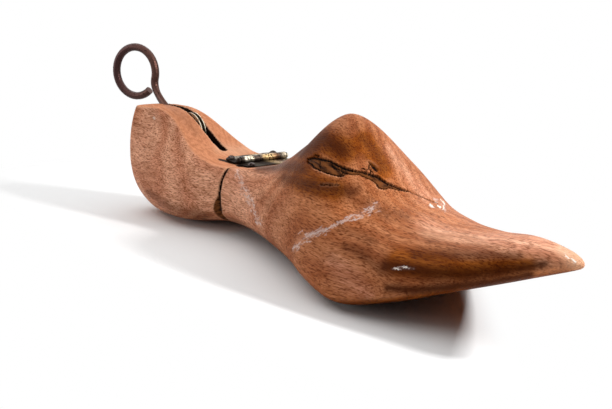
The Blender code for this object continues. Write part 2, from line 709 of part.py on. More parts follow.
def build_handle(collection, cutters, dark, steel):
    """Ring handle, its rivet, the bracket in the slot and two screws."""
    frame = slot_matrix()
    pivot = Vector((PIVOT_POSITION, 0, PIVOT_HEIGHT))
    rows = [(point - pivot, thick, tall) for point, thick, tall in handle_path()]
    handle = add_object("ring_handle", loft_mesh("ring_handle", handle_rings(rows, 14)), collection, dark)
    handle.matrix_world = frame @ Matrix.Translation(pivot)
    smooth_shade(handle)
    eye = rod_mesh("eye_bore", RIVET_RADIUS + RUNNING_FIT, (0, -SLOT_WIDTH, 0), (0, SLOT_WIDTH, 0), 20)
    cut(handle, eye, cutters, frame @ Matrix.Translation(pivot))
    outside = SLOT_WIDTH / 2 - FIT
    rivet_mesh = rod_mesh("handle_rivet", RIVET_RADIUS, (0, -outside, 0), (0, outside, 0))
    rivet = add_object("handle_rivet", rivet_mesh, collection, steel)
    rivet.matrix_world = frame @ Matrix.Translation(pivot)
    smooth_shade(rivet)
    base = SLOT_FLOOR + FIT - PIVOT_HEIGHT
    arc = [(CHEEK_RADIUS * cos(pi * i / 20), CHEEK_RADIUS * sin(pi * i / 20)) for i in range(21)]
    outline = arc + [(-CHEEK_RADIUS, base), (CHEEK_RADIUS, base)]
    sheet = profile_mesh("handle_bracket", outline, outside * 2, collection)
    bracket = add_object("handle_bracket", sheet, collection, steel)
    bracket.matrix_world = frame @ Matrix.Translation(pivot)
    inside = outside - CHEEK_THICKNESS
    past = CHEEK_RADIUS + OVERSHOOT
    low = (-past, -inside, base + CHEEK_THICKNESS)
    hollow = box_mesh("bracket_hollow", low, (past, inside, past))
    cut(bracket, hollow, cutters, frame @ Matrix.Translation(pivot))
    beyond = outside + OVERSHOOT
    bore = rod_mesh("rivet_bore", RIVET_RADIUS + RUNNING_FIT, (0, -beyond, 0), (0, beyond, 0), 20)
    cut(bracket, bore, cutters, frame @ Matrix.Translation(pivot))
    screws = []
    sizes = (BRACKET_SCREW_HEAD_RADIUS, BRACKET_SCREW_HEAD_HEIGHT, BRACKET_SCREW_SHANK_RADIUS)
    sizes += (BRACKET_SCREW_LENGTH, BRACKET_SCREW_SLOT)
    for edge, place in (("rear", -1), ("front", 1)):
        x = place * BRACKET_SCREW_SPACING / 2
        foot = (x, 0, base - OVERSHOOT)
        mouth = (x, 0, base + CHEEK_THICKNESS + OVERSHOOT)
        hole = rod_mesh("base_hole", BRACKET_SCREW_SHANK_RADIUS + FIT / 2, foot, mouth, HOLE_STEPS)
        cut(bracket, hole, cutters, frame @ Matrix.Translation(pivot))
        screw, slot = build_screw("bracket_screw_" + edge, sizes, collection, cutters, steel)
        seat = pivot + Vector((x, 0, base + CHEEK_THICKNESS + FIT))
        screw.matrix_world = frame @ Matrix.Translation(seat)
        slot.parent = screw
        screws.append(screw)
    return handle, rivet, bracket, screws


def stand_on_origin(parts, cutters):
    """Hang everything on one empty that puts the middle of the underside at the origin."""
    graph = bpy.context.evaluated_depsgraph_get()
    graph.update()
    corners = []
    for item in parts.objects:
        body = item.evaluated_get(graph)
        corners += [body.matrix_world @ vert.co for vert in body.data.vertices]
    low = [min(corner[axis] for corner in corners) for axis in range(3)]
    high = [max(corner[axis] for corner in corners) for axis in range(3)]
    root = add_object("shoe_tree_root", None, parts)
    for item in list(parts.objects) + list(cutters.objects):
        if item is not root and not item.parent:
            item.parent = root
    root.location = (-(low[0] + high[0]) / 2, -(low[1] + high[1]) / 2, -low[2])


def main():
    """Build the tree and stand it on the middle of its own floor area."""
    clear_scene()
    parts = new_collection("shoe_tree")
    cutters = new_collection("cutters")
    wood = new_material("aged_beech", (0.38, 0.16, 0.075), 0.45, 0.0)
    bright = new_material("worn_nickel_steel", (0.55, 0.52, 0.45), 0.32, 1.0)
    dark = new_material("browned_steel", (0.075, 0.05, 0.05), 0.42, 0.9)
    build_wood(parts, cutters, wood)
    build_hinge(parts, cutters, bright)
    build_handle(parts, cutters, dark, bright)
    stand_on_origin(parts, cutters)


main()
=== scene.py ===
import math

import bpy
import numpy as np
from mathutils import Matrix, Vector


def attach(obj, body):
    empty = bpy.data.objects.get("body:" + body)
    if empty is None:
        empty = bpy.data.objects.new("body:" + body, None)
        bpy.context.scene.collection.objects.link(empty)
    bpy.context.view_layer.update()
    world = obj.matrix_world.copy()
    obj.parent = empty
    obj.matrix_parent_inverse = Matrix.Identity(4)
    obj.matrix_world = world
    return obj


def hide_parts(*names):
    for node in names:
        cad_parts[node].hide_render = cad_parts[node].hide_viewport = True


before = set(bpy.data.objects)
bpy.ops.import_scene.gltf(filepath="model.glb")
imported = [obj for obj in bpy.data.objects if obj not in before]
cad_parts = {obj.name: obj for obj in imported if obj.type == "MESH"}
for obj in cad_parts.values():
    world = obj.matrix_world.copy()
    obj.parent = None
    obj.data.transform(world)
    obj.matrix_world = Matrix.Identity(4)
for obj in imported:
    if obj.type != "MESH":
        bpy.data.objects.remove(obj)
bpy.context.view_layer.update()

# Camera. The photograph is taken from the inner side of the toe, a little over the tree, from
# about 33 cm away, which gives the strong foreshortening. The frame is set off a little upwards.
bpy.ops.object.camera_add(location=(0.2511, -0.1877, 0.0906))
camera = bpy.context.object
camera.name = "camera"
camera.rotation_euler = (math.radians(90 - 10.156), 0, math.radians(51.365))
camera.data.sensor_width = 36
camera.data.lens = 44.12
camera.data.shift_x = -0.0176
camera.data.shift_y = -0.0585
camera.data.clip_start = 0.01
bpy.context.scene.camera = camera
bpy.context.scene.view_settings.view_transform = "Standard"

# Studio. A white paper sweep that fades to plain white away from the tree's shadow, a small lamp on
# the toe's side that draws the shadow's edge, a wide softbox overhead and a low card in front.
PAPER, PLAIN_WHITE, ROOM_LIGHT = 0.90, 1.0, 0.03


def background_rays(nodes, links):
    """One for the rays that show the plain background: seen, mirrored or let through."""
    path = nodes.new("ShaderNodeLightPath")
    most = path.outputs["Is Camera Ray"]
    for kind in ("Is Glossy Ray", "Is Transmission Ray"):
        either = nodes.new("ShaderNodeMath")
        either.operation = "MAXIMUM"
        links.new(most, either.inputs[0])
        links.new(path.outputs[kind], either.inputs[1])
        most = either.outputs[0]
    return most


bpy.ops.mesh.primitive_plane_add(size=30, location=(0, 0, -0.0002))
floor = bpy.context.object
floor.name = "floor"
sweep = bpy.data.materials.new("white_sweep")
sweep.use_nodes = True
nodes, links = sweep.node_tree.nodes, sweep.node_tree.links
paper = nodes["Principled BSDF"]
paper.inputs["Base Color"].default_value = (PAPER, PAPER, PAPER, 1)
paper.inputs["Roughness"].default_value = 1.0
paper.inputs["Specular IOR Level"].default_value = 0.0
# How far a spot of the floor lies outside the shadow: beyond a long oval round the tree, or
# beyond a slanting line below the toe.
OVAL_START, OVAL_END, OVAL_SIDE, OVAL_RADIUS = -0.230, 0.086, -0.008, 0.050
SLANT, SLANT_REACH = (0.707, 0.707, 0), 0.0675
FADE_START, FADE_END = -0.001, 0.012
place = nodes.new("ShaderNodeTexCoord")
parts = nodes.new("ShaderNodeSeparateXYZ")
ends = nodes.new("ShaderNodeClamp")
ends.inputs["Min"].default_value = OVAL_START
ends.inputs["Max"].default_value = OVAL_END
spine = nodes.new("ShaderNodeCombineXYZ")
spine.inputs["Y"].default_value = OVAL_SIDE
reach = nodes.new("ShaderNodeVectorMath")
reach.operation = "DISTANCE"
beyond_oval = nodes.new("ShaderNodeMath")
beyond_oval.operation = "SUBTRACT"
beyond_oval.inputs[1].default_value = OVAL_RADIUS
slant = nodes.new("ShaderNodeVectorMath")
slant.operation = "DOT_PRODUCT"
slant.inputs[1].default_value = SLANT
beyond_line = nodes.new("ShaderNodeMath")
beyond_line.operation = "SUBTRACT"
beyond_line.inputs[1].default_value = SLANT_REACH
outside = nodes.new("ShaderNodeMath")
outside.operation = "MAXIMUM"
fade = nodes.new("ShaderNodeMapRange")
fade.interpolation_type = "SMOOTHSTEP"
fade.inputs["From Min"].default_value = FADE_START
fade.inputs["From Max"].default_value = FADE_END
links.new(place.outputs["Object"], parts.inputs[0])
links.new(parts.outputs["X"], ends.inputs["Value"])
links.new(ends.outputs[0], spine.inputs["X"])
links.new(place.outputs["Object"], reach.inputs[0])
links.new(spine.outputs[0], reach.inputs[1])
links.new(reach.outputs["Value"], beyond_oval.inputs[0])
links.new(place.outputs["Object"], slant.inputs[0])
links.new(slant.outputs["Value"], beyond_line.inputs[0])
links.new(beyond_oval.outputs[0], outside.inputs[0])
links.new(beyond_line.outputs[0], outside.inputs[1])
links.new(outside.outputs[0], fade.inputs["Value"])
far_paper = nodes.new("ShaderNodeEmission")
far_paper.inputs["Strength"].default_value = PLAIN_WHITE
seen = nodes.new("ShaderNodeMixShader")
choose = nodes.new("ShaderNodeMixShader")
links.new(fade.outputs[0], seen.inputs[0])
links.new(paper.outputs[0], seen.inputs[1])
links.new(far_paper.outputs[0], seen.inputs[2])
links.new(background_rays(nodes, links), choose.inputs[0])
links.new(paper.outputs[0], choose.inputs[1])
links.new(seen.outputs[0], choose.inputs[2])
links.new(choose.outputs[0], nodes["Material Output"].inputs["Surface"])
floor.data.materials.append(sweep)

world = bpy.data.worlds.new("studio")
bpy.context.scene.world = world
world.use_nodes = True
nodes, links = world.node_tree.nodes, world.node_tree.links
room = nodes["Background"]
room.inputs["Color"].default_value = (1, 1, 1, 1)
room.inputs["Strength"].default_value = ROOM_LIGHT
white = nodes.new("ShaderNodeBackground")
white.inputs["Color"].default_value = (1, 1, 1, 1)
white.inputs["Strength"].default_value = PLAIN_WHITE
choose = nodes.new("ShaderNodeMixShader")
links.new(background_rays(nodes, links), choose.inputs[0])
links.new(room.outputs[0], choose.inputs[1])
links.new(white.outputs[0], choose.inputs[2])
links.new(choose.outputs[0], nodes["World Output"].inputs["Surface"])


def softbox(name, azimuth, elevation, distance, size, power):
    """A square lamp that faces the middle of the tree."""
    turn, rise = math.radians(azimuth), math.radians(elevation)
    place = Vector((math.cos(rise) * math.cos(turn), math.cos(rise) * math.sin(turn), math.sin(rise)))
    bpy.ops.object.light_add(type="AREA", location=place * distance)
    lamp = bpy.context.object
    lamp.name = name
    lamp.rotation_euler = place.to_track_quat("Z", "Y").to_euler()
    lamp.data.shape = "SQUARE"
    lamp.data.size = size
    lamp.data.energy = power


softbox("lamp_toe_side", azimuth=27.5, elevation=35.0, distance=0.453, size=0.045, power=1.7)
softbox("softbox_overhead", azimuth=150, elevation=76, distance=0.47, size=1.2, power=5.9)
softbox("card_in_front", azimuth=-125, elevation=5, distance=1.2, size=0.8, power=6.0)


# Body of both wooden blocks: one beech last, turned on a copying lathe, sanded and waxed, then
# sawn down along heel and saddle and sawn apart at the waist. Lengths are in metres from the heel.
LAST = 0.256
HEEL_END = Vector((-0.113565, 0.00795, -0.0005))
JOINT, GAP = 0.0798, 0.0011
POINTS_ROUND = 128
# position share, width, its shares on the inner and outer side
PLAN = (
    (0.00, 46.5, 0.00, 0.00), (0.02, 46.5, 0.335, 0.217), (0.06, 46.5, 0.413, 0.312),
    (0.12, 46.5, 0.501, 0.394), (0.20, 46.5, 0.557, 0.419), (0.235, 46.5, 0.540, 0.405),
    (0.28, 46.5, 0.510, 0.485), (0.36, 48.0, 0.490, 0.500), (0.43, 48.0, 0.540, 0.520),
    (0.50, 70.5, 0.417, 0.376), (0.57, 70.5, 0.468, 0.427), (0.64, 70.5, 0.526, 0.472),
    (0.71, 70.5, 0.533, 0.457), (0.78, 70.5, 0.453, 0.387), (0.85, 43.5, 0.538, 0.471),
    (0.92, 43.5, 0.313, 0.271), (0.97, 43.5, 0.170, 0.103), (1.00, 43.5, 0.00, 0.00),
)
# position share, height, share of it
SOLE = (
    (0.00, 23.5, 1.00), (0.02, 23.5, 0.26), (0.06, 23.5, 0.05), (0.12, 23.5, 0.00), (0.20, 7.5, 0.15),
    (0.28, 7.5, 0.54), (0.36, 7.5, 0.53), (0.43, 7.5, 0.46), (0.50, 7.5, 0.30), (0.57, 7.5, 0.03),
    (0.64, 28.8, 0.00), (0.71, 28.8, 0.00), (0.78, 28.8, 0.185), (0.85, 28.8, 0.43),
    (0.92, 28.8, 0.67), (0.97, 28.8, 0.86), (1.00, 28.8, 1.00),
)
# position share, height, share of it, toe depth above it
CREST = (
    (0.00, 23.5, 1.00, 0.0), (0.02, 55.3, 1.17, 0.0), (0.06, 55.3, 1.09, 0.0), (0.12, 55.3, 0.99, 0.0),
    (0.20, 55.3, 0.80, 0.0), (0.28, 32.0, 1.20, 0.0), (0.36, 32.0, 1.16, 0.0), (0.43, 61.5, 0.646, 0.0),
    (0.50, 61.5, 0.812, 0.0), (0.57, 61.5, 0.99, 0.0), (0.64, 61.5, 0.805, 0.0), (0.71, 61.5, 0.57, 0.0),
    (0.78, 28.8, 0.80, 7.0), (0.85, 28.8, 0.79, 7.0), (0.92, 28.8, 0.88, 7.0), (0.97, 28.8, 0.94, 5.25),
    (1.00, 28.8, 1.00, 0.0),
)
# position share, widest point, roundness of the crest inside and outside, and of the sole
ROUND = (
    (0.00, 0.50, 2.00, 2.00, 2.00), (0.06, 0.37, 2.07, 2.07, 2.30), (0.12, 0.33, 2.12, 2.12, 2.60),
    (0.20, 0.32, 2.04, 2.04, 2.70), (0.235, 0.335, 2.15, 2.00, 2.62), (0.28, 0.35, 2.55, 2.60, 2.50),
    (0.36, 0.35, 2.50, 2.60, 2.40), (0.43, 0.33, 1.95, 1.95, 2.40), (0.50, 0.28, 1.73, 1.73, 2.50),
    (0.57, 0.25, 1.65, 1.65, 2.60), (0.64, 0.22, 1.80, 1.80, 2.80), (0.71, 0.22, 1.94, 1.94, 3.20),
    (0.85, 0.29, 2.00, 2.00, 3.80), (0.92, 0.35, 2.00, 2.00, 3.60), (1.00, 0.50, 2.00, 2.00, 2.00),
)
# Millimetres: how far the crest swings to the inner side at heel and toe, and how much of the sole
# is sanded flat, so that the last stands.
HEEL_SWING, TOE_SWING, SOLE_FLAT = 17.5, 16.0, 0.5
# The sawn line in millimetres: the heel's top, the drop from there to the saddle, and the hinge's
# place. The table gives shares of the way to the hinge and shares of the drop.
HEEL_TOP, SADDLE_DROP, HINGE = 55.3, 23.3, 76.8
SAW_END = 0.110
SAW = (
    (0.00, 0.00), (0.10, 0.01), (0.20, 0.02), (0.29, 0.05), (0.37, 0.13), (0.46, 0.29), (0.55, 0.50),
    (0.65, 0.72), (0.76, 0.88), (0.88, 0.97), (1.00, 1.00), (1.12, 0.985), (1.24, 0.94), (1.36, 0.86),
    (1.55, 0.70),
)


def fair_line(keys, value):
    """Read a smooth curve through rising key points."""
    runs = [b[0] - a[0] for a, b in zip(keys, keys[1:])]
    rises = [(b[1] - a[1]) / run for a, b, run in zip(keys, keys[1:], runs)]
    slopes = [0.0]
    for i in range(1, len(runs)):
        slopes.append((rises[i - 1] * runs[i] + rises[i] * runs[i - 1]) / (runs[i - 1] + runs[i]))
    slopes[0] = 2 * rises[0] - slopes[1]
    slopes.append(2 * rises[-1] - slopes[-1])
    i = 0
    while i < len(runs) - 1 and value > keys[i + 1][0]:
        i += 1
    t = (value - keys[i][0]) / runs[i]
    s = 1 - t
    ends = keys[i][1] * (1 + 2 * t) * s * s + keys[i + 1][1] * t * t * (1 + 2 * s)
    return ends + runs[i] * t * s * (slopes[i] * s - slopes[i + 1] * t)


def station(share):
    """Spread the position shares so that the round ends get close rings."""
    return math.acos(1 - 2 * share) / math.pi


def last_line(table, share, size):
    """One line of the last at a position share."""
    return fair_line([(station(row[0]), size(row)) for row in table], station(share))


def last_middle(share):
    """Sideways place of the crest, which curves to the inner side at both ends."""
    back = max(0.0, 1 - share / 0.36)
    front = max(0.0, (share - 0.34) / 0.66)
    return -HEEL_SWING * back ** 1.4 - TOE_SWING * (0.4 * front + 0.6 * front * front)


def last_ring(share, count):
    """One ring of points round the last."""
    inner = last_line(PLAN, share, lambda row: row[1] * row[2])
    outer = last_line(PLAN, share, lambda row: row[1] * row[3])
    sole = last_line(SOLE, share, lambda row: row[1] * row[2])
    crest = last_line(CREST, share, lambda row: row[1] * row[2] + row[3])
    belly = last_line(ROUND, share, lambda row: row[1])
    inner_power = last_line(ROUND, share, lambda row: row[2])
    outer_power = last_line(ROUND, share, lambda row: row[3])
    sole_power = last_line(ROUND, share, lambda row: row[4])
    waist = sole + belly * (crest - sole)
    ring = []
    for index in range(count):
        angle = 2 * math.pi * (index + 0.5) / count
        across, up = math.cos(angle), math.sin(angle)
        power = sole_power if up < 0 else outer_power if across > 0 else inner_power
        y = (outer if across > 0 else inner) * abs(across) ** (2 / power)
        z = (crest - waist if up > 0 else waist - sole) * abs(up) ** (2 / power)
        z = max(waist + math.copysign(z, up), SOLE_FLAT)
        y = last_middle(share) + math.copysign(y, across)
        ring.append(Vector((share * LAST, y / 1000, z / 1000)) + HEEL_END)
    return ring


def saw_height(x):
    """Height of the sawn line over the floor of the last."""
    line = [(share * HINGE, HEEL_TOP - drop * SADDLE_DROP) for share, drop in SAW]
    return fair_line(line, x * 1000) / 1000


def pick(body):
    """Select one object alone, as the next step needs it."""
    bpy.ops.object.select_all(action="DESELECT")
    bpy.context.view_layer.objects.active = body
    body.select_set(True)


def closed_body(name, rings, tip=None):
    """A closed mesh round a row of rings, with a flat end or a tip."""
    count = len(rings[0])
    points = [point for ring in rings for point in ring]
    faces = [list(range(count))]
    for row in range(len(rings) - 1):
        for i in range(count):
            j = (i + 1) % count
            a, b = row * count, (row + 1) * count
            faces.append([a + i, a + j, b + j, b + i])
    last = (len(rings) - 1) * count
    if tip:
        points.append(tip)
        faces += [[last + i, last + (i + 1) % count, len(points) - 1] for i in range(count)]
    else:
        faces.append([last + i for i in range(count)])
    mesh = bpy.data.meshes.new(name)
    mesh.from_pydata(points, [], faces)
    body = bpy.data.objects.new(name, mesh)
    bpy.context.scene.collection.objects.link(body)
    pick(body)
    bpy.ops.object.mode_set(mode="EDIT")
    bpy.ops.mesh.select_all(action="SELECT")
    bpy.ops.mesh.normals_make_consistent(inside=False)
    bpy.ops.object.mode_set(mode="OBJECT")
    return body


def prism(name, outline, width, matrix):
    """A cutter: an outline in length and height, as wide to both sides."""
    sides = [[matrix @ Vector((x, side * width / 2, z)) for x, z in outline] for side in (-1, 1)]
    return closed_body(name, sides)


def take_off(block, cutter):
    """Cut a block with a cutter and throw the cutter away."""
    step = block.modifiers.new("cut", "BOOLEAN")
    step.operation = "DIFFERENCE"
    step.solver = "EXACT"
    step.object = cutter
    pick(block)
    bpy.ops.object.modifier_apply(modifier="cut")
    bpy.data.objects.remove(cutter, do_unlink=True)


def rough_block(name, start, end, rings, tip_share):
    """One block of the last from its joint face to the point at its round end."""
    first, final = station(start), station(end)
    shares = [(1 - math.cos(math.pi * (first + (final - first) * i / rings))) / 2 for i in range(rings)]
    height = SOLE[-1][1] if tip_share else SOLE[0][1]
    tip = Vector((tip_share * LAST, last_middle(tip_share) / 1000, height / 1000)) + HEEL_END
    return closed_body(name, [last_ring(share, POINTS_ROUND) for share in shares], tip)


def saw_waste():
    """What the band saw takes off above heel and saddle."""
    behind, above, width, steps = -0.03, 0.09, 0.12, 160
    line = [SAW_END * i / steps for i in range(steps + 1)]
    outline = [(behind, HEEL_TOP / 1000)] + [(x, saw_height(x)) for x in line]
    outline += [(SAW_END + 0.0003, above), (behind, above)]
    return prism("saw_waste", outline, width, Matrix.Translation(HEEL_END))


RECESS_HALF, RECESS_DEPTH, RECESS_NEAR, PIVOT_HEIGHT = 0.0124, 0.0021, -0.0134, 0.0339
HEEL_LEAF_TILT = 7


def hinge_recess(tilt):
    """The shallow recess that the hinge lies in, open to the outer side."""
    half, floor, above, width = RECESS_HALF, -RECESS_DEPTH, 0.02, 0.09
    place = Matrix.Translation(Vector((HINGE / 1000, RECESS_NEAR + width / 2, PIVOT_HEIGHT)) + HEEL_END)
    outline = [(-half, floor), (half, floor), (half, above), (-half, above)]
    return prism("recess", outline, width, place @ Matrix.Rotation(math.radians(tilt), 4, "Y"))


fore_start, heel_start = (JOINT + GAP / 2) / LAST, (JOINT - GAP / 2) / LAST
fore_wood = rough_block("forepart_wood", start=fore_start, end=1.0, rings=170, tip_share=1)
heel_wood = rough_block("heel_wood", start=heel_start, end=0.0, rings=90, tip_share=0)
take_off(fore_wood, saw_waste())
take_off(heel_wood, saw_waste())
take_off(fore_wood, hinge_recess(tilt=0))
take_off(heel_wood, hinge_recess(tilt=HEEL_LEAF_TILT))

# The slot for the handle: its outline in length and height, sunk from the top, turned a little.
SLOT_WIDTH, SLOT_TURN, SLOT_PLACE, SLOT_SIDE = 0.0032, 6, 0.035, -0.0078
SLOT_LINE = [(0.0168, 0.033), (0.0166, 0.0436), (0.0102, 0.0471), (0.0044, 0.0510), (-0.0007, 0.0550)]
SLOT_LINE += [(-0.0034, 0.0578), (-0.0060, 0.0700), (0.0557, 0.0700), (0.0557, 0.033)]
slot_turn = Matrix.Rotation(math.radians(SLOT_TURN), 4, "Z")
slot_foot = Vector((SLOT_PLACE, SLOT_SIDE, 0)) - slot_turn @ Vector((SLOT_PLACE, 0, 0)) + HEEL_END
take_off(heel_wood, prism("slot", SLOT_LINE, SLOT_WIDTH, Matrix.Translation(slot_foot) @ slot_turn))


def even_skin(block, size, passes):
    """Give a block an even fine skin, which eases its sawn edges."""
    pick(block)
    step = block.modifiers.new("skin", "REMESH")
    step.mode = "VOXEL"
    step.voxel_size = size
    bpy.ops.object.modifier_apply(modifier="skin")
    step = block.modifiers.new("ease", "SMOOTH")
    step.factor = 0.5
    step.iterations = passes
    bpy.ops.object.modifier_apply(modifier="ease")


even_skin(fore_wood, size=0.00072, passes=5)
even_skin(heel_wood, size=0.00060, passes=6)
# The skin blunts the toe, so the last part is drawn out again.
TOE_STRETCH, STRETCH_START, STRETCH_RUN = 0.0012, 0.93, 0.065
for point in fore_wood.data.vertices:
    share = (point.co.x - HEEL_END.x) / LAST
    point.co.x += TOE_STRETCH * min(max((share - STRETCH_START) / STRETCH_RUN, 0), 1) ** 2

# Crack in the forepart: an old shake that opened in two lenses along the grain below the instep.
# Its edges are painted near black, and splinters of greyed wood fill it a little below the surface.
CRACK_DEPTH, SPLINTER_DEPTH, RAGGED = 0.0009, 0.0004, 0.35
# Marks of use are set by where they show in the photograph, which is 612 pixels by 409: each line is
# a row of points in its pixels, across and down, with the mark's half width.
PHOTO_WIDTH, PHOTO_HEIGHT = 612, 409


def in_photo(points):
    """Where points of the tree lie in the photograph, in its pixels."""
    turn = camera.rotation_euler.to_matrix()
    local = (points - np.array(camera.location)) @ np.array(turn)
    focal = PHOTO_WIDTH * camera.data.lens / camera.data.sensor_width
    x = PHOTO_WIDTH / 2 - PHOTO_WIDTH * camera.data.shift_x - focal * local[:, 0] / local[:, 2]
    y = PHOTO_HEIGHT / 2 + PHOTO_WIDTH * camera.data.shift_y + focal * local[:, 1] / local[:, 2]
    return np.stack([x, y], axis=1)


def points_and_normals(block):
    """Places and normals of the points of a block."""
    count = len(block.data.vertices)
    places, normals = np.empty(count * 3), np.empty(count * 3)
    block.data.vertices.foreach_get("co", places)
    block.data.vertices.foreach_get("normal", normals)
    return places.reshape(-1, 3), normals.reshape(-1, 3)


def stroke(spots, line):
    """How much spots lie on a line of points, each with its half width: one inside, zero outside."""
    mask = np.zeros(len(spots))
    for (ax, ay, aw), (bx, by, bw) in zip(line, line[1:]):
        a, run = np.array((ax, ay)), np.array((bx - ax, by - ay))
        t = np.clip((spots - a) @ run / (run @ run), 0, 1)
        away = np.linalg.norm(spots - a - t[:, None] * run, axis=1)
        half = aw + (bw - aw) * t
        mask = np.maximum(mask, np.clip(1.0 - (away - half) / np.maximum(0.7 * half, 0.35), 0, 1))
    return mask


def soft_stroke(spots, line):
    """The same with a long soft edge."""
    mask = np.zeros(len(spots))
    for (ax, ay, aw), (bx, by, bw) in zip(line, line[1:]):
        a, run = np.array((ax, ay)), np.array((bx - ax, by - ay))
        t = np.clip((spots - a) @ run / (run @ run), 0, 1)
        away = np.linalg.norm(spots - a - t[:, None] * run, axis=1)
        mask = np.maximum(mask, np.exp(-((away / (aw + (bw - aw) * t)) ** 2)))
    return mask


def jagged(spots, amount):
    """Spots of the photograph, shifted to and fro so that torn edges come out ragged."""
    x, y = spots[:, 0], spots[:, 1]
    across = np.sin(2.3 * x + 1.7 * np.sin(1.9 * y)) + 0.6 * np.sin(5.1 * x + 2.0 * y)
    along = np.sin(1.6 * y + 2.1 * np.sin(1.3 * x)) + 0.6 * np.sin(4.3 * y - 3.1 * x)
    return spots + amount * np.stack([along, across], axis=1)


def inside(spots, outline):
    """Whether spots lie inside an outline."""
    hit = np.zeros(len(spots), dtype=bool)
    for (ax, ay), (bx, by) in zip(outline, outline[1:] + outline[:1]):
        if ay != by:
            across = (spots[:, 1] < ay) != (spots[:, 1] < by)
            hit ^= across & (spots[:, 0] < ax + (bx - ax) * (spots[:, 1] - ay) / (by - ay))
    return hit


def paint(block, name, values):
    """Keep a mask on the points of a block for its material."""
    kept = block.data.attributes.new(name, "FLOAT", "POINT")
    kept.data.foreach_set("value", np.asarray(values, dtype=np.float32))


def facing(places, normals):
    """Which points face the camera."""
    return ((np.array(camera.location) - places) * normals).sum(axis=1) > 0


SHAKE_TOP = [
    (307.3, 158.8, 0.4), (313.6, 157.5, 0.8), (321.8, 158.9, 0.9), (330.0, 160.7, 0.6), (336.4, 164.4, 0.8),
    (342.7, 167.3, 0.9), (350.9, 169.8, 0.8), (356.4, 170.8, 0.4), (362.7, 171.6, 0.5), (369.0, 173.9, 0.6),
    (377.3, 176.2, 0.8), (381.8, 179.4, 0.7), (387.3, 183.0, 0.7), (395.5, 186.2, 0.5), (401.8, 188.9, 0.5),
    (408.2, 190.9, 0.3), (415.5, 194.2, 0.2), (421.8, 197.1, 0.25), (430.0, 200.3, 0.2), (436.4, 202.5, 0.15),
]
SHAKE_FOOT = [
    (307.3, 161.6, 0.4), (310.9, 164.2, 0.7), (313.6, 167.5, 0.6), (320.9, 170.7, 0.5), (330.0, 173.9, 0.6),
    (340.0, 176.2, 0.6), (343.6, 175.3, 0.6), (345.5, 173.2, 0.6), (352.7, 174.4, 0.3), (359.1, 174.4, 0.3),
    (365.5, 177.1, 0.4), (372.7, 180.3, 0.5), (376.4, 183.5, 0.5), (378.2, 187.1, 0.6), (383.6, 188.9, 0.6),
    (390.0, 187.5, 0.4), (398.2, 189.8, 0.4), (408.2, 191.2, 0.3),
]
SHAKE_SPURS = [
    [(369.5, 162.0, 0.5), (373.2, 166.0, 1.2), (376.6, 169.6, 1.3)],
    [(369.5, 162.5, 0.3), (369.2, 167.0, 0.3), (371.5, 171.0, 0.3), (369.0, 174.0, 0.3)],
    [(360.0, 169.2, 0.2), (363.5, 168.0, 0.3), (366.0, 171.5, 0.3), (368.5, 168.5, 0.2), (373.5, 173.5, 0.3)],
    [(331.5, 164.8, 0.7), (334.0, 167.0, 0.8), (336.0, 168.5, 0.5)],
    [(334.0, 166.5, 0.2), (340.0, 169.5, 0.4), (344.5, 172.5, 0.3)],
    [(340.5, 167.5, 0.1), (342.5, 172.0, 0.25), (340.0, 175.5, 0.1)],
    [(319.8, 159.5, 0.1), (319.4, 163.5, 0.25), (319.8, 168.0, 0.1)],
    [(315.0, 155.0, 0.5), (319.0, 155.8, 0.5)],
    [(321.0, 184.6, 0.1), (330.0, 184.9, 0.3), (343.5, 184.9, 0.1)],
]
# Trails of scrapes, and on the toe's tip a trail of painted glints: the line, then count, width and length of
# the scratches along it.
SCUFF_AND_GLINT_TRAILS = (
    ([(237.0, 171.0, 2.6), (243.0, 187.0, 4.2), (251.0, 201.0, 3.8), (260.0, 226.0, 3.0)], 74, 0.40, 4.0),
    ([(294.0, 251.0, 2.4), (301.0, 240.0, 5.2), (313.0, 233.5, 4.6), (329.0, 228.4, 1.8)], 62, 0.45, 8.0),
    ([(326.0, 229.0, 1.4), (343.5, 220.8, 2.0), (361.0, 213.5, 4.4), (376.0, 205.5, 4.6)], 60, 0.45, 5.5),
    ([(340.0, 222.0, 1.0), (362.0, 217.5, 1.2)], 8, 0.5, 7.0),
    ([(392.0, 269.0, 1.0), (402.0, 268.0, 1.8), (414.0, 268.5, 1.2)], 20, 0.4, 3.0),
    ([(434.0, 198.0, 1.2), (443.0, 204.0, 2.4), (446.0, 211.0, 1.6)], 16, 0.4, 4.0),
    # Painted glints on the toe's tip.
    ([(564.0, 253.0, 2.6), (576.0, 262.5, 2.2)], 12, 0.5, 3.0),
)
# Faces by the crack and the trails are cut finer.
pick(fore_wood)
centres = np.empty(len(fore_wood.data.polygons) * 3)
fore_wood.data.polygons.foreach_get("center", centres)
slopes = np.empty(len(centres))
fore_wood.data.polygons.foreach_get("normal", slopes)
centres, slopes = centres.reshape(-1, 3), slopes.reshape(-1, 3)
spots = in_photo(centres)
band = stroke(spots, [(x, y, 3.5) for x, y, _ in SHAKE_TOP])
band = np.minimum(band + stroke(spots, [(x, y, 3.0) for x, y, _ in SHAKE_FOOT]), 1)
for line, _, _, _ in SCUFF_AND_GLINT_TRAILS:
    band = np.maximum(band, soft_stroke(spots, [(x, y, 1.5 * width + 2.0) for x, y, width in line]))
near = (band > 0.5) & facing(centres, slopes)
fore_wood.data.vertices.foreach_set("select", np.zeros(len(fore_wood.data.vertices), dtype=bool))
fore_wood.data.edges.foreach_set("select", np.zeros(len(fore_wood.data.edges), dtype=bool))
fore_wood.data.polygons.foreach_set("select", near)
bpy.ops.object.mode_set(mode="EDIT")
bpy.ops.mesh.select_mode(type="FACE")
bpy.ops.mesh.subdivide(number_cuts=2)
bpy.ops.object.mode_set(mode="OBJECT")

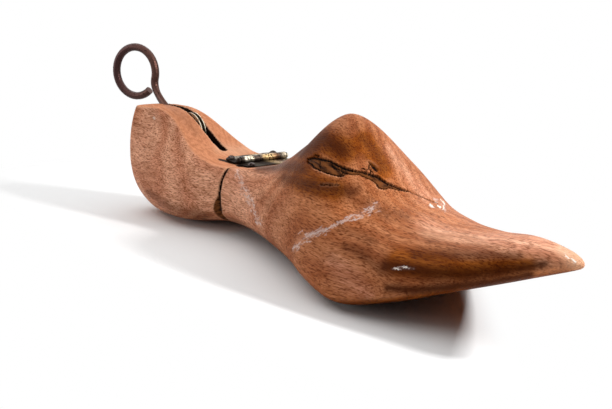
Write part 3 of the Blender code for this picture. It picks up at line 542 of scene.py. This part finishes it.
places, normals = points_and_normals(fore_wood)
spots = jagged(in_photo(places), RAGGED)
open_side = facing(places, normals)
lens = inside(spots, [(x, y) for x, y, _ in SHAKE_TOP[:16]] + [(x, y) for x, y, _ in reversed(SHAKE_FOOT)])
lens = lens & open_side
dark = np.maximum(stroke(spots, SHAKE_TOP), stroke(spots, SHAKE_FOOT))
for spur in SHAKE_SPURS:
    dark = np.maximum(dark, stroke(spots, spur))
dark = dark * open_side
sunk = CRACK_DEPTH * dark + SPLINTER_DEPTH * (lens & (dark < 0.5))
places = places - normals * sunk[:, None]
fore_wood.data.vertices.foreach_set("co", places.ravel())
paint(fore_wood, "shake", dark)
paint(fore_wood, "splinters", lens)

# Knocks and scrapes on the forepart: two trails of whitish scratches, dots of paint, small chips
# that show bare pale wood, and a toe that is rubbed shiny with a painted sheen. Painted glints sit on the
# toe's tip, painted shade on the shaded faces and painted light on the lit faces.
CHIPS_AND_GLINTS = (
    [(430.3, 204.9, 0.9), (433.0, 206.9, 0.7)], [(438.0, 205.8, 0.5), (440.5, 207.5, 0.7)],
    [(440.5, 199.0, 0.2), (444.5, 203.5, 0.35), (443.0, 209.5, 0.2)],
    [(395.0, 268.0, 0.3), (398.0, 269.0, 0.4)], [(404.0, 267.5, 0.3), (407.0, 267.0, 0.4)],
    # Painted glints on the toe's tip.
    [(566.0, 255.5, 0.5), (568.5, 258.0, 0.6)], [(572.0, 259.0, 0.4), (575.5, 262.0, 0.5)],
)
# Dark stains and painted shade, each a line and its depth. Painted shade darkens the cone's left and near
# faces, the lower toe with its lower edge and near side, and with stains the saddle's front and the wood
# below the crack; the other patches are stains.
STAINS_AND_SHADE = (
    ([(345.0, 246.0, 5.0), (362.0, 254.0, 7.0), (378.0, 268.0, 5.0)], 0.5),
    ([(286.0, 178.0, 9.0), (318.0, 187.0, 10.0), (352.0, 192.0, 9.0)], 0.76),
    ([(258.0, 168.0, 4.0), (283.0, 166.0, 8.0), (300.0, 168.0, 12.0)], 0.82),
    ([(302.0, 152.0, 11.0), (322.0, 138.0, 12.0), (342.0, 150.0, 12.0)], 0.86),
    ([(362.0, 138.0, 6.0), (376.0, 152.0, 7.0), (384.0, 168.0, 6.0)], 0.48),
    ([(358.0, 200.0, 9.0), (382.0, 211.0, 9.0), (405.0, 218.0, 6.0)], 0.40),
    ([(385.0, 266.0, 9.0), (425.0, 272.0, 11.0), (465.0, 275.0, 11.0), (505.0, 271.0, 9.0),
      (545.0, 264.0, 4.0)], 0.90),
    ([(388.0, 288.0, 5.0), (410.0, 290.0, 6.0), (440.0, 288.0, 7.0), (490.0, 283.0, 8.0),
      (530.0, 275.0, 6.0)], 0.92),
    ([(262.0, 196.0, 7.0), (270.0, 206.0, 7.0)], 0.22),
    ([(415.0, 256.0, 8.0), (480.0, 256.0, 8.0), (520.0, 256.0, 4.0)], 0.60),
    ([(340.0, 226.0, 5.0), (352.0, 232.0, 6.0), (372.0, 240.0, 6.0)], 0.30),
    ([(372.0, 207.0, 6.0), (384.0, 205.0, 5.0)], 0.28),
    ([(405.0, 291.0, 1.4), (409.0, 296.5, 1.0)], 1.0),
    ([(426.0, 289.5, 1.2), (431.0, 292.5, 1.2)], 1.0),
)
# Trails of dark scratches, each a line and a count.
DARK_TRAILS = (
    ([(330.0, 243.0, 2.0), (346.0, 246.0, 3.0), (362.0, 255.0, 4.0), (382.0, 268.0, 4.0)], 34),
    ([(384.0, 272.0, 4.0), (404.0, 290.0, 4.0), (430.0, 291.0, 2.0)], 22),
    ([(470.0, 258.0, 6.0), (505.0, 268.0, 5.0), (545.0, 264.0, 3.0)], 30),
    ([(320.0, 132.0, 5.0), (330.0, 150.0, 6.0)], 12),
)
# Where the wood is made deeper or paler. Painted shade deepens the cone's left and near faces and the lower
# toe, painted light pales the cone's ridge and the toe's top, and the rest is old wax and rubbing.
WAX_SHADE_AND_LIGHT = (
    ([(300.0, 160.0, 14.0), (318.0, 140.0, 10.0), (345.0, 150.0, 12.0)], 0.6),
    ([(300.0, 182.0, 10.0), (335.0, 190.0, 10.0)], 0.5),
    ([(365.0, 140.0, 9.0), (378.0, 160.0, 9.0), (385.0, 172.0, 7.0)], 0.5),
    ([(400.0, 262.0, 12.0), (460.0, 268.0, 10.0), (530.0, 262.0, 8.0)], 0.6),
    ([(388.0, 148.0, 4.0), (405.0, 172.0, 6.0), (425.0, 196.0, 8.0)], -0.42),
    ([(425.0, 226.0, 10.0), (455.0, 236.0, 7.0), (500.0, 240.0, 6.0), (560.0, 250.0, 7.0)], -0.55),
    ([(236.0, 185.0, 9.0), (246.0, 205.0, 9.0)], -0.30),
    ([(333.0, 262.0, 8.0), (350.0, 278.0, 11.0), (368.0, 294.0, 6.0)], -0.48),
)
# Painted sheen, with the wood rubbed smoother there: the toe's tip, the toe's top and the cone's lit right
# face.
RUBBED_SHEEN = (
    ([(560.0, 249.0, 5.0), (577.0, 261.0, 7.0)], 1.0),
    ([(428.0, 233.0, 7.0), (455.0, 237.0, 6.0), (485.0, 240.0, 3.0)], 0.32),
    ([(391.0, 152.0, 2.0), (402.0, 166.0, 3.0), (411.0, 178.0, 2.5)], 0.25),
)


def scratches(line, count, width, length, seed):
    """Many short thin strokes that run roughly along a trail."""
    rng = np.random.default_rng(seed)
    runs = [np.hypot(b[0] - a[0], b[1] - a[1]) for a, b in zip(line, line[1:])]
    ends = np.cumsum([0] + runs)
    strokes = []
    for _ in range(count):
        way = rng.uniform(0, ends[-1])
        i = min(int(np.searchsorted(ends, way, side="right")) - 1, len(runs) - 1)
        t = (way - ends[i]) / runs[i]
        (ax, ay, aw), (bx, by, bw) = line[i], line[i + 1]
        angle = math.atan2(by - ay, bx - ax) + rng.normal(0, 0.35)
        off = rng.normal(0, 0.55) * (aw + (bw - aw) * t)
        x = ax + (bx - ax) * t - math.sin(angle) * off
        y = ay + (by - ay) * t + math.cos(angle) * off
        half = rng.uniform(0.3, 1.0) * length / 2
        thick = width * rng.uniform(0.5, 1.2)
        strokes.append([
            (x - math.cos(angle) * half, y - math.sin(angle) * half, 0.3 * thick),
            (x, y + rng.normal(0, 0.3), thick),
            (x + math.cos(angle) * half, y + math.sin(angle) * half, 0.3 * thick),
        ])
    return strokes


def soft_patches(spots, patches):
    """The strongest of many soft strokes, each with its own depth."""
    mask = np.zeros(len(spots))
    for line, depth in patches:
        mask = np.maximum(mask, depth * soft_stroke(spots, line))
    return mask


def age_shade_and_light(places, normals):
    """How deep the wood is: old wax, little on the heel and more on the forepart, painted shade on faces that
    look down, and a painted highlight on the toe's top.
    """
    heel_age, fore_age, underside_shade, toe_top_light = 0.10, 0.62, 0.45, 0.55
    share = (places[:, 0] - HEEL_END.x) / LAST
    deep = heel_age + fore_age * np.clip((share - 0.36) / 0.24, 0, 1)
    deep = deep + underside_shade * np.clip(-normals[:, 2] - 0.05, 0, 1)
    return deep - toe_top_light * np.clip((share - 0.84) / 0.12, 0, 1) * np.clip(normals[:, 2] + 0.2, 0, 1)


rng = np.random.default_rng(11)
scuffs_and_glints = np.zeros(len(places))
for line, count, width, length in SCUFF_AND_GLINT_TRAILS:
    for thin in scratches(line, count, width, length, seed=count):
        scuffs_and_glints = np.maximum(scuffs_and_glints, rng.uniform(0.35, 1.0) * stroke(spots, thin))
    scuffs_and_glints = np.maximum(scuffs_and_glints, 0.08 * soft_stroke(spots, line))
chips_and_glints = np.zeros(len(places))
for line in CHIPS_AND_GLINTS:
    chips_and_glints = np.maximum(chips_and_glints, stroke(spots, line))
# Stains and painted shade, with trails of dark scratches.
stains_and_shade = soft_patches(spots, STAINS_AND_SHADE)
for line, count in DARK_TRAILS:
    for thin in scratches(line, count, width=0.55, length=4.5, seed=7 * count):
        stains_and_shade = np.maximum(stains_and_shade, rng.uniform(0.4, 0.9) * stroke(spots, thin))
# Faces that look down are darkened as painted shade, most of all the sole.
sole = 0.65 * np.clip(-1.4 * normals[:, 2] - 0.5, 0, 1)
deep = age_shade_and_light(places, normals)
for line, depth in WAX_SHADE_AND_LIGHT:
    deep = deep + depth * soft_stroke(spots, line) * open_side
paint(fore_wood, "scuffs_and_glints", scuffs_and_glints * open_side)
paint(fore_wood, "chips_and_glints", chips_and_glints * open_side)
paint(fore_wood, "stains_and_shade", np.maximum(stains_and_shade * open_side, sole))
paint(fore_wood, "age_shade_and_light", np.clip(deep, 0, 1))
paint(fore_wood, "rubbed_and_sheen", soft_patches(spots, RUBBED_SHEEN) * open_side)

# Broken corner of the heel block: the wood by the joint is split off low on the inner side, and
# the break is dark with age.
BREAK_LOW, BREAK_HIGH, BREAK_REACH, BREAK_SIDE = 0.0015, 0.0195, 0.0046, -0.008
BREAK_EDGE, BREAK_DEEPEST, BREAK_SLOPE = 0.0004, 0.005, 0.75
HEEL_CHIP = [(153.8, 117.6, 0.7), (154.6, 118.8, 0.6)]
# Stains on the heel block; the patch along its lower edge by the floor is painted shade.
HEEL_STAINS_AND_SHADE = (
    ([(148.0, 192.0, 3.0), (172.0, 208.0, 6.0), (205.0, 216.0, 5.0)], 0.45),
    ([(150.0, 112.0, 5.0), (172.0, 126.0, 6.0), (182.0, 150.0, 4.0)], 0.22),
    ([(168.0, 106.0, 4.0), (184.0, 117.0, 6.0), (197.0, 133.0, 4.0)], 0.26),
)
# Painted sheen on the heel block beside the hinge.
HEEL_SHEEN = [([(218.0, 148.0, 5.0), (236.0, 152.0, 6.0), (252.0, 148.0, 5.0)], 0.55)]
places, normals = points_and_normals(heel_wood)
spots = in_photo(places)
open_side = facing(places, normals)
face_x = HEEL_END.x + JOINT - GAP / 2
height = np.clip((places[:, 2] - BREAK_LOW) / (BREAK_HIGH - BREAK_LOW), 0, 1)
reach = BREAK_REACH * np.sin(np.pi * height ** 0.8) ** 0.8
behind = places[:, 0] - face_x + reach
split = np.clip(behind / BREAK_EDGE, 0, 1) * (places[:, 1] < HEEL_END.y + BREAK_SIDE)
split = split * (reach > BREAK_EDGE)
sink = np.clip(behind, 0, BREAK_DEEPEST) * BREAK_SLOPE * (normals[:, 1] < 0.2) * (split > 0)
heel_wood.data.vertices.foreach_set("co", (places + np.array((0, 1, 0)) * sink[:, None]).ravel())
paint(heel_wood, "shake", np.zeros(len(places)))
paint(heel_wood, "scuffs_and_glints", np.zeros(len(places)))
paint(heel_wood, "splinters", split)
paint(heel_wood, "chips_and_glints", 0.45 * stroke(spots, HEEL_CHIP) * open_side)
paint(heel_wood, "stains_and_shade", soft_patches(spots, HEEL_STAINS_AND_SHADE) * open_side)
paint(heel_wood, "age_shade_and_light", np.clip(age_shade_and_light(places, normals), 0, 1))
paint(heel_wood, "rubbed_and_sheen", soft_patches(spots, HEEL_SHEEN) * open_side)

# Worn edges with a painted highlight, bare sawn faces, grime and painted shade of both blocks. The
# joint's faces are dark with grime and painted shade; painted shade darkens the recess, the slot, the wood
# below the hinge's near end and the seam between the blocks.
# Strokes of painted shade below the hinge's near end and down the seam between the blocks.
SHADE_BELOW_HINGE = [(219.0, 159.4, 0.7), (232.0, 162.8, 0.9), (245.0, 164.3, 0.9), (258.0, 163.6, 0.5)]
SHADE_DOWN_SEAM = [
    (228.2, 168.7, 0.5), (222.1, 180.0, 0.6), (219.9, 193.3, 0.6), (220.6, 204.0, 0.5), (221.8, 212.0, 0.4),
]
# How far the painted shade reaches past a cut, how near the sawn line a sawn face lies, and the lowest spot
# of the recess.
MASK_REACH, SAWN_REACH, RECESS_LOWEST = 0.0003, 0.0006, 0.029


def paint_wear_and_shade(block):
    """Mark the worn and highlighted edges of a block, its sawn faces, and its grime and painted shade."""
    places, normals = points_and_normals(block)
    spots = in_photo(places)
    open_side = facing(places, normals)
    count = len(places)
    pairs = np.empty(len(block.data.edges) * 2, dtype=np.int32)
    block.data.edges.foreach_get("vertices", pairs)
    pairs = pairs.reshape(-1, 2)
    # How sharply the skin bends outwards at each point, from its neighbours.
    total, number, size = np.zeros((count, 3)), np.zeros(count), np.zeros(count)
    span = np.linalg.norm(places[pairs[:, 0]] - places[pairs[:, 1]], axis=1)
    for a, b in ((0, 1), (1, 0)):
        np.add.at(total, pairs[:, a], places[pairs[:, b]])
        np.add.at(number, pairs[:, a], 1)
        np.add.at(size, pairs[:, a], span)
    bulge = ((places - total / number[:, None]) * normals).sum(axis=1)
    bend = bulge / (size / number) ** 2 / 1000
    for _ in range(2):
        total = np.zeros(count)
        np.add.at(total, pairs[:, 0], bend[pairs[:, 1]])
        np.add.at(total, pairs[:, 1], bend[pairs[:, 0]])
        bend = 0.5 * bend + 0.5 * total / number
    calm = 1 - soft_stroke(spots, [(x, y, 9.0) for x, y, _ in SHAKE_TOP]) * open_side
    # Convex edges are made pale: wear, and a painted highlight along them.
    paint(block, "worn_and_highlit", np.clip((bend - 0.05) / 0.12, 0, 1) * np.clip(calm * 1.5 - 0.5, 0, 1))
    # Sawn faces lie on the sawn line.
    x = places[:, 0] - HEEL_END.x
    steps = np.linspace(-0.01, SAW_END + 0.002, 400)
    height = np.interp(x, steps, np.array([saw_height(v) for v in steps])) + HEEL_END.z
    sawn = (np.abs(places[:, 2] - height) < SAWN_REACH) & (np.abs(normals[:, 1]) < 0.45)
    paint(block, "sawn", sawn & (x < SAW_END + 0.0005))
    # The joint's faces are dark with grime and painted shade; the recess and the slot are painted shade.
    joint = (np.abs(x - JOINT) < GAP / 2 + 0.0002) * np.clip(0.65 + 6 * np.clip(bend, 0, 1), 0, 1)
    recess = (np.abs(x - HINGE / 1000) < RECESS_HALF + MASK_REACH) & (normals[:, 2] > 0.8)
    recess = recess & (places[:, 2] < height - 0.0001) & (places[:, 2] > RECESS_LOWEST)
    recess = recess & (places[:, 1] > HEEL_END.y + RECESS_NEAR - 0.0004)
    back = np.array(Matrix.Rotation(math.radians(-SLOT_TURN), 3, "Z"))
    own = (places - np.array(slot_foot)) @ back.T
    slot = (np.abs(own[:, 1]) < SLOT_WIDTH / 2 + MASK_REACH) & (places[:, 2] < height - 0.0004)
    slot = slot & inside(own[:, [0, 2]] + (-0.0003, 0.0006), SLOT_LINE)
    # Painted shade below the hinge's near end and down the seam.
    lines = np.maximum(stroke(spots, SHADE_BELOW_HINGE), stroke(spots, SHADE_DOWN_SEAM)) * open_side
    paint(block, "grime_and_shade", np.maximum(np.maximum(joint, recess | slot), lines))


paint_wear_and_shade(fore_wood)
paint_wear_and_shade(heel_wood)


# Waxed beech. Growth rings run as shells that bow to the inner side, short dark rays lie along
# the grain, and old wax has turned the wood brown. Sawn faces are paler; edges are pale from rubbing and a
# painted highlight.
def group_socket(group, name, way):
    """Give a node group a named number as input or output."""
    group.interface.new_socket(name=name, in_out=way, socket_type="NodeSocketFloat")


RING_PERIOD, PITH = 0.0048, (0, -0.060, -0.012)
grain = bpy.data.node_groups.new("beech_grain", "ShaderNodeTree")
for name in ("Rings", "Clouds", "Rays", "Fibres", "Streaks"):
    group_socket(grain, name, "OUTPUT")
nodes, links = grain.nodes, grain.links
out = nodes.new("NodeGroupOutput")
place = nodes.new("ShaderNodeTexCoord")
sway = nodes.new("ShaderNodeTexNoise")
sway.inputs["Scale"].default_value = 22
sway.inputs["Detail"].default_value = 2
centre = nodes.new("ShaderNodeVectorMath")
centre.operation = "SUBTRACT"
centre.inputs[1].default_value = (0.5, 0.5, 0.5)
amount = nodes.new("ShaderNodeVectorMath")
amount.operation = "MULTIPLY"
amount.inputs[1].default_value = (0.004, 0.012, 0.012)
bent = nodes.new("ShaderNodeVectorMath")
links.new(place.outputs["Object"], sway.inputs["Vector"])
links.new(sway.outputs["Color"], centre.inputs[0])
links.new(centre.outputs[0], amount.inputs[0])
links.new(place.outputs["Object"], bent.inputs[0])
links.new(amount.outputs[0], bent.inputs[1])
pith = nodes.new("ShaderNodeMapping")
pith.inputs["Location"].default_value = PITH
pith.inputs["Scale"].default_value = (0.10, 1, 1)
shell = nodes.new("ShaderNodeVectorMath")
shell.operation = "LENGTH"
pace = nodes.new("ShaderNodeMath")
pace.operation = "MULTIPLY"
pace.inputs[1].default_value = 2 * math.pi / RING_PERIOD
wave = nodes.new("ShaderNodeMath")
wave.operation = "SINE"
links.new(bent.outputs[0], pith.inputs["Vector"])
links.new(pith.outputs[0], shell.inputs[0])
links.new(shell.outputs["Value"], pace.inputs[0])
links.new(pace.outputs[0], wave.inputs[0])
lines = nodes.new("ShaderNodeMapRange")
lines.inputs["From Min"].default_value = -1
lines.inputs["From Max"].default_value = 1
links.new(wave.outputs[0], lines.inputs["Value"])
links.new(lines.outputs[0], out.inputs["Rings"])
for name, scale, size, detail, low, high in (
    ("Clouds", (0.40, 1, 1), 44, 4, 0.36, 0.64),
    ("Fibres", (0.08, 1, 1), 3200, 3, 0.34, 0.66),
    ("Rays", (0.19, 1, 1), 2200, 2, 0.48, 0.66),
    ("Streaks", (0.12, 1, 1), 700, 3, 0.40, 0.64),
):
    stretch = nodes.new("ShaderNodeMapping")
    stretch.inputs["Scale"].default_value = scale
    noise = nodes.new("ShaderNodeTexNoise")
    noise.inputs["Scale"].default_value = size
    noise.inputs["Detail"].default_value = detail
    spread = nodes.new("ShaderNodeMapRange")
    spread.inputs["From Min"].default_value = low
    spread.inputs["From Max"].default_value = high
    links.new(bent.outputs[0], stretch.inputs["Vector"])
    links.new(stretch.outputs[0], noise.inputs["Vector"])
    links.new(noise.outputs["Fac"], spread.inputs["Value"])
    links.new(spread.outputs[0], out.inputs[name])

beech = bpy.data.materials.new("aged_beech")
beech.use_nodes = True
nodes, links = beech.node_tree.nodes, beech.node_tree.links
shader = nodes["Principled BSDF"]
shader.inputs["Specular IOR Level"].default_value = 0.03
shader.inputs["Specular Tint"].default_value = (1.0, 0.62, 0.42, 1)
wood = nodes.new("ShaderNodeGroup")
wood.node_tree = grain


def mask(name):
    """A mask that is painted on the wood."""
    node = nodes.new("ShaderNodeAttribute")
    node.attribute_name = name
    return node.outputs["Fac"]


def scaled(value, factor):
    """A mask made weaker or stronger."""
    node = nodes.new("ShaderNodeMath")
    node.operation = "MULTIPLY"
    node.use_clamp = True
    links.new(value, node.inputs[0])
    node.inputs[1].default_value = factor
    return node.outputs[0]


def layer(colour, over, amount, blend="MIX"):
    """Lay one colour over another where a mask says so."""
    node = nodes.new("ShaderNodeMix")
    node.data_type = "RGBA"
    node.blend_type = blend
    links.new(amount, node.inputs["Factor"])
    for given, socket in ((colour, node.inputs[6]), (over, node.inputs[7])):
        if isinstance(given, tuple):
            socket.default_value = (*given, 1)
        else:
            links.new(given, socket)
    return node.outputs[2]


PALE, PALE_CLOUDS, PALE_RINGS = (0.76, 0.355, 0.220), (0.50, 0.195, 0.105), (0.98, 0.56, 0.38)
DEEP, DEEP_CLOUDS, DEEP_RINGS = (0.46, 0.126, 0.014), (0.19, 0.038, 0.002), (0.62, 0.21, 0.042)
STREAKS, FIBRES, RAYS = (0.62, 0.52, 0.44), (0.60, 0.50, 0.42), (0.36, 0.26, 0.20)
SAWN, SAWN_FIBRES, SAWN_STREAKS = (0.62, 0.26, 0.132), (0.38, 0.135, 0.058), (0.34, 0.115, 0.048)
WORN_HIGHLIT_EDGE, STAIN_AND_SHADE_DARK = (0.66, 0.34, 0.20), (0.036, 0.0060, 0.0008)
TORN, TORN_DARK = (0.17, 0.056, 0.016), (0.030, 0.009, 0.003)
SCUFFED_AND_GLINT, SHEEN_PALE, BARE_AND_GLINT = (0.66, 0.54, 0.50), (0.72, 0.43, 0.27), (0.80, 0.74, 0.66)
CRACK_BLACK, PACKED_GRIME_AND_SHADE = (0.004, 0.003, 0.003), (0.012, 0.006, 0.004)
pale = layer(PALE, PALE_CLOUDS, scaled(wood.outputs["Clouds"], 0.50))
pale = layer(pale, PALE_RINGS, scaled(wood.outputs["Rings"], 0.66))
deep = layer(DEEP, DEEP_CLOUDS, scaled(wood.outputs["Clouds"], 0.75))
deep = layer(deep, DEEP_RINGS, scaled(wood.outputs["Rings"], 0.35))
# Old wax deepens the wood; painted shade deepens the shaded faces and painted light pales the lit ones.
colour = layer(pale, deep, mask("age_shade_and_light"))
colour = layer(colour, STREAKS, scaled(wood.outputs["Streaks"], 0.75), "MULTIPLY")
colour = layer(colour, FIBRES, scaled(wood.outputs["Fibres"], 0.70), "MULTIPLY")
colour = layer(colour, RAYS, scaled(wood.outputs["Rays"], 0.90), "MULTIPLY")
sawn = layer(SAWN, SAWN_FIBRES, scaled(wood.outputs["Fibres"], 0.50))
sawn = layer(sawn, SAWN_STREAKS, scaled(wood.outputs["Streaks"], 0.60))
colour = layer(colour, sawn, mask("sawn"))
# Pale edges: wear and a painted highlight.
colour = layer(colour, WORN_HIGHLIT_EDGE, scaled(mask("worn_and_highlit"), 0.45))
# Stains and painted shade.
colour = layer(colour, STAIN_AND_SHADE_DARK, mask("stains_and_shade"))
torn = layer(TORN, TORN_DARK, wood.outputs["Streaks"])
colour = layer(colour, torn, mask("splinters"))
# Whitish scratches, and painted glints on the toe's tip.
colour = layer(colour, SCUFFED_AND_GLINT, scaled(mask("scuffs_and_glints"), 0.72))
# Painted sheen where the wood is rubbed.
colour = layer(colour, SHEEN_PALE, scaled(mask("rubbed_and_sheen"), 0.65))
# Bare wood in chips, and painted glints on the toe's tip.
colour = layer(colour, BARE_AND_GLINT, mask("chips_and_glints"))
colour = layer(colour, CRACK_BLACK, mask("shake"))
# Grime and painted shade in the joint, painted shade in the recess, the slot and the seam.
colour = layer(colour, PACKED_GRIME_AND_SHADE, mask("grime_and_shade"))
links.new(colour, shader.inputs["Base Color"])
gloss = nodes.new("ShaderNodeMapRange")
gloss.inputs["To Min"].default_value = 0.34
gloss.inputs["To Max"].default_value = 0.56
links.new(wood.outputs["Clouds"], gloss.inputs["Value"])
polish = nodes.new("ShaderNodeMath")
polish.operation = "SUBTRACT"
links.new(gloss.outputs[0], polish.inputs[0])
links.new(scaled(mask("rubbed_and_sheen"), 0.12), polish.inputs[1])
links.new(polish.outputs[0], shader.inputs["Roughness"])
relief = nodes.new("ShaderNodeMath")
relief.operation = "ADD"
links.new(wood.outputs["Rays"], relief.inputs[0])
links.new(wood.outputs["Fibres"], relief.inputs[1])
bump = nodes.new("ShaderNodeBump")
bump.invert = True
bump.inputs["Strength"].default_value = 0.35
bump.inputs["Distance"].default_value = 0.0002
links.new(relief.outputs[0], bump.inputs["Height"])
links.new(bump.outputs[0], shader.inputs["Normal"])

for block, node, body in ((fore_wood, "forepart", "fore"), (heel_wood, "heel_block", "heel")):
    pick(block)
    bpy.ops.object.shade_smooth()
    block.data.materials.append(beech)
    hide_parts(node)
    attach(block, body)


# Hinge, screws and bracket: nickelled steel, rubbed bright on the knuckles, with old grime in broken
# patches and painted shade below the barrel's near end. The hinge is screwed into its recess and the
# bracket to the slot's floor. The ring is plain browned wire that turns on the bracket's rivet.
# Where the painted shade lies on the hinge: below the barrel, toward its near end.
BARREL_TOP, BARREL_FOOT = 0.0346, 0.0328
NEAR_HALF_END, NEAR_HALF_START = 0.0150, 0.0090
GRIME_AND_SHADE_BLACK = (0.010, 0.006, 0.004, 1)
grime_and_shade = bpy.data.node_groups.new("old_grime_and_shade", "ShaderNodeTree")
for name, way in (("Amount", "INPUT"), ("Shade_Below_Barrel", "INPUT"), ("Mask", "OUTPUT"), ("Height", "OUTPUT")):
    group_socket(grime_and_shade, name, way)
nodes, links = grime_and_shade.nodes, grime_and_shade.links
given = nodes.new("NodeGroupInput")
out = nodes.new("NodeGroupOutput")
place = nodes.new("ShaderNodeTexCoord")
patches = nodes.new("ShaderNodeTexNoise")
patches.inputs["Scale"].default_value = 900
patches.inputs["Detail"].default_value = 4
more = nodes.new("ShaderNodeMath")
more.operation = "MULTIPLY_ADD"
more.inputs[1].default_value = 0.3
spread = nodes.new("ShaderNodeMapRange")
spread.inputs["From Min"].default_value = 0.62
spread.inputs["From Max"].default_value = 0.74
parts = nodes.new("ShaderNodeSeparateXYZ")
low = nodes.new("ShaderNodeMapRange")
low.inputs["From Min"].default_value = BARREL_TOP
low.inputs["From Max"].default_value = BARREL_FOOT
near_end = nodes.new("ShaderNodeMapRange")
near_end.inputs["From Min"].default_value = NEAR_HALF_END
near_end.inputs["From Max"].default_value = NEAR_HALF_START
# Painted shade below the barrel at its near end, over the patches of grime.
shade_below_barrel = nodes.new("ShaderNodeMath")
shade_below_barrel.operation = "MULTIPLY"
painted_shade = nodes.new("ShaderNodeMath")
painted_shade.operation = "MULTIPLY"
both = nodes.new("ShaderNodeMath")
both.operation = "MAXIMUM"
links.new(place.outputs["Object"], patches.inputs["Vector"])
links.new(given.outputs["Amount"], more.inputs[0])
links.new(patches.outputs["Fac"], more.inputs[2])
links.new(more.outputs[0], spread.inputs["Value"])
links.new(place.outputs["Object"], parts.inputs[0])
links.new(parts.outputs["Z"], low.inputs["Value"])
links.new(parts.outputs["Y"], near_end.inputs["Value"])
links.new(low.outputs[0], shade_below_barrel.inputs[0])
links.new(near_end.outputs[0], shade_below_barrel.inputs[1])
links.new(shade_below_barrel.outputs[0], painted_shade.inputs[0])
links.new(given.outputs["Shade_Below_Barrel"], painted_shade.inputs[1])
links.new(spread.outputs[0], both.inputs[0])
links.new(painted_shade.outputs[0], both.inputs[1])
links.new(both.outputs[0], out.inputs["Mask"])
links.new(patches.outputs["Fac"], out.inputs["Height"])


def metal_material(name, colours, start, end, roughness, amount, shade_below_barrel=0.0):
    """Worn metal whose tone changes across the tree from start to end, with grime and painted shade over it.
    """
    metal = bpy.data.materials.new(name)
    metal.use_nodes = True
    nodes, links = metal.node_tree.nodes, metal.node_tree.links
    shader = nodes["Principled BSDF"]
    shader.inputs["Specular IOR Level"].default_value = 0.02
    place = nodes.new("ShaderNodeTexCoord")
    parts = nodes.new("ShaderNodeSeparateXYZ")
    along = nodes.new("ShaderNodeMapRange")
    along.inputs["From Min"].default_value = start
    along.inputs["From Max"].default_value = end
    ramp = nodes.new("ShaderNodeValToRGB")
    while len(ramp.color_ramp.elements) < len(colours):
        ramp.color_ramp.elements.new(0.5)
    for element, (position, colour) in zip(ramp.color_ramp.elements, colours):
        element.position = position
        element.color = (*colour, 1)
    links.new(place.outputs["Object"], parts.inputs[0])
    links.new(parts.outputs["Y"], along.inputs["Value"])
    links.new(along.outputs[0], ramp.inputs["Fac"])
    dirt_and_shade = nodes.new("ShaderNodeGroup")
    dirt_and_shade.node_tree = grime_and_shade
    dirt_and_shade.inputs["Amount"].default_value = amount
    dirt_and_shade.inputs["Shade_Below_Barrel"].default_value = shade_below_barrel
    over = nodes.new("ShaderNodeMix")
    over.data_type = "RGBA"
    over.inputs[7].default_value = GRIME_AND_SHADE_BLACK
    links.new(dirt_and_shade.outputs["Mask"], over.inputs["Factor"])
    links.new(ramp.outputs["Color"], over.inputs[6])
    links.new(over.outputs[2], shader.inputs["Base Color"])
    bare = nodes.new("ShaderNodeMapRange")
    bare.inputs["To Min"].default_value = 1.0
    bare.inputs["To Max"].default_value = 0.0
    links.new(dirt_and_shade.outputs["Mask"], bare.inputs["Value"])
    links.new(bare.outputs[0], shader.inputs["Metallic"])
    dull = nodes.new("ShaderNodeMapRange")
    dull.inputs["To Min"].default_value = roughness
    dull.inputs["To Max"].default_value = roughness + 0.30
    links.new(dirt_and_shade.outputs["Mask"], dull.inputs["Value"])
    links.new(dull.outputs[0], shader.inputs["Roughness"])
    bump = nodes.new("ShaderNodeBump")
    bump.inputs["Strength"].default_value = 0.3
    bump.inputs["Distance"].default_value = 0.0001
    links.new(dirt_and_shade.outputs["Height"], bump.inputs["Height"])
    links.new(bump.outputs[0], shader.inputs["Normal"])
    return metal


NICKEL_TONES = (
    (0.00, (0.030, 0.022, 0.018)), (0.08, (0.035, 0.026, 0.020)), (0.12, (0.62, 0.56, 0.45)),
    (0.26, (0.50, 0.42, 0.30)), (0.30, (0.05, 0.035, 0.028)), (0.44, (0.10, 0.07, 0.05)),
    (0.50, (0.42, 0.28, 0.13)), (0.64, (0.46, 0.32, 0.16)), (0.74, (0.16, 0.08, 0.04)),
    (0.84, (0.04, 0.028, 0.022)), (0.95, (0.40, 0.33, 0.24)), (1.00, (0.50, 0.44, 0.34)),
)
SCREW_TONES = ((0, (0.060, 0.045, 0.040)), (1, (0.10, 0.075, 0.062)))
BRIGHT_TONES = ((0, (0.48, 0.42, 0.32)), (1, (0.36, 0.30, 0.22)))
BROWN_TONES = ((0, (0.036, 0.018, 0.019)), (1, (0.074, 0.036, 0.027)))
worn_nickel = metal_material(
    "worn_nickel", NICKEL_TONES, start=-0.0036, end=0.0233, roughness=0.30, amount=0.35, shade_below_barrel=0.95
)
dull_nickel = metal_material(
    "dull_nickel", SCREW_TONES, start=0, end=0.02, roughness=0.38, amount=0.45
)
bright_nickel = metal_material(
    "bright_nickel", BRIGHT_TONES, start=0, end=0.02, roughness=0.28, amount=0.20
)
browned = metal_material(
    "browned_steel_wire", BROWN_TONES, start=-0.02, end=0.0, roughness=0.42, amount=0.05
)
for names, metal in (
    (("hinge_leaf_fore", "hinge_leaf_heel", "hinge_pin"), worn_nickel),
    (("hinge_screw_fore_inner", "hinge_screw_fore_outer"), dull_nickel),
    (("hinge_screw_heel_inner", "hinge_screw_heel_outer"), dull_nickel),
    (("handle_bracket", "handle_rivet", "bracket_screw_rear", "bracket_screw_front"), bright_nickel),
    (("ring_handle",), browned),
):
    for name in names:
        bpy.data.objects[name].material_slots[0].material = metal
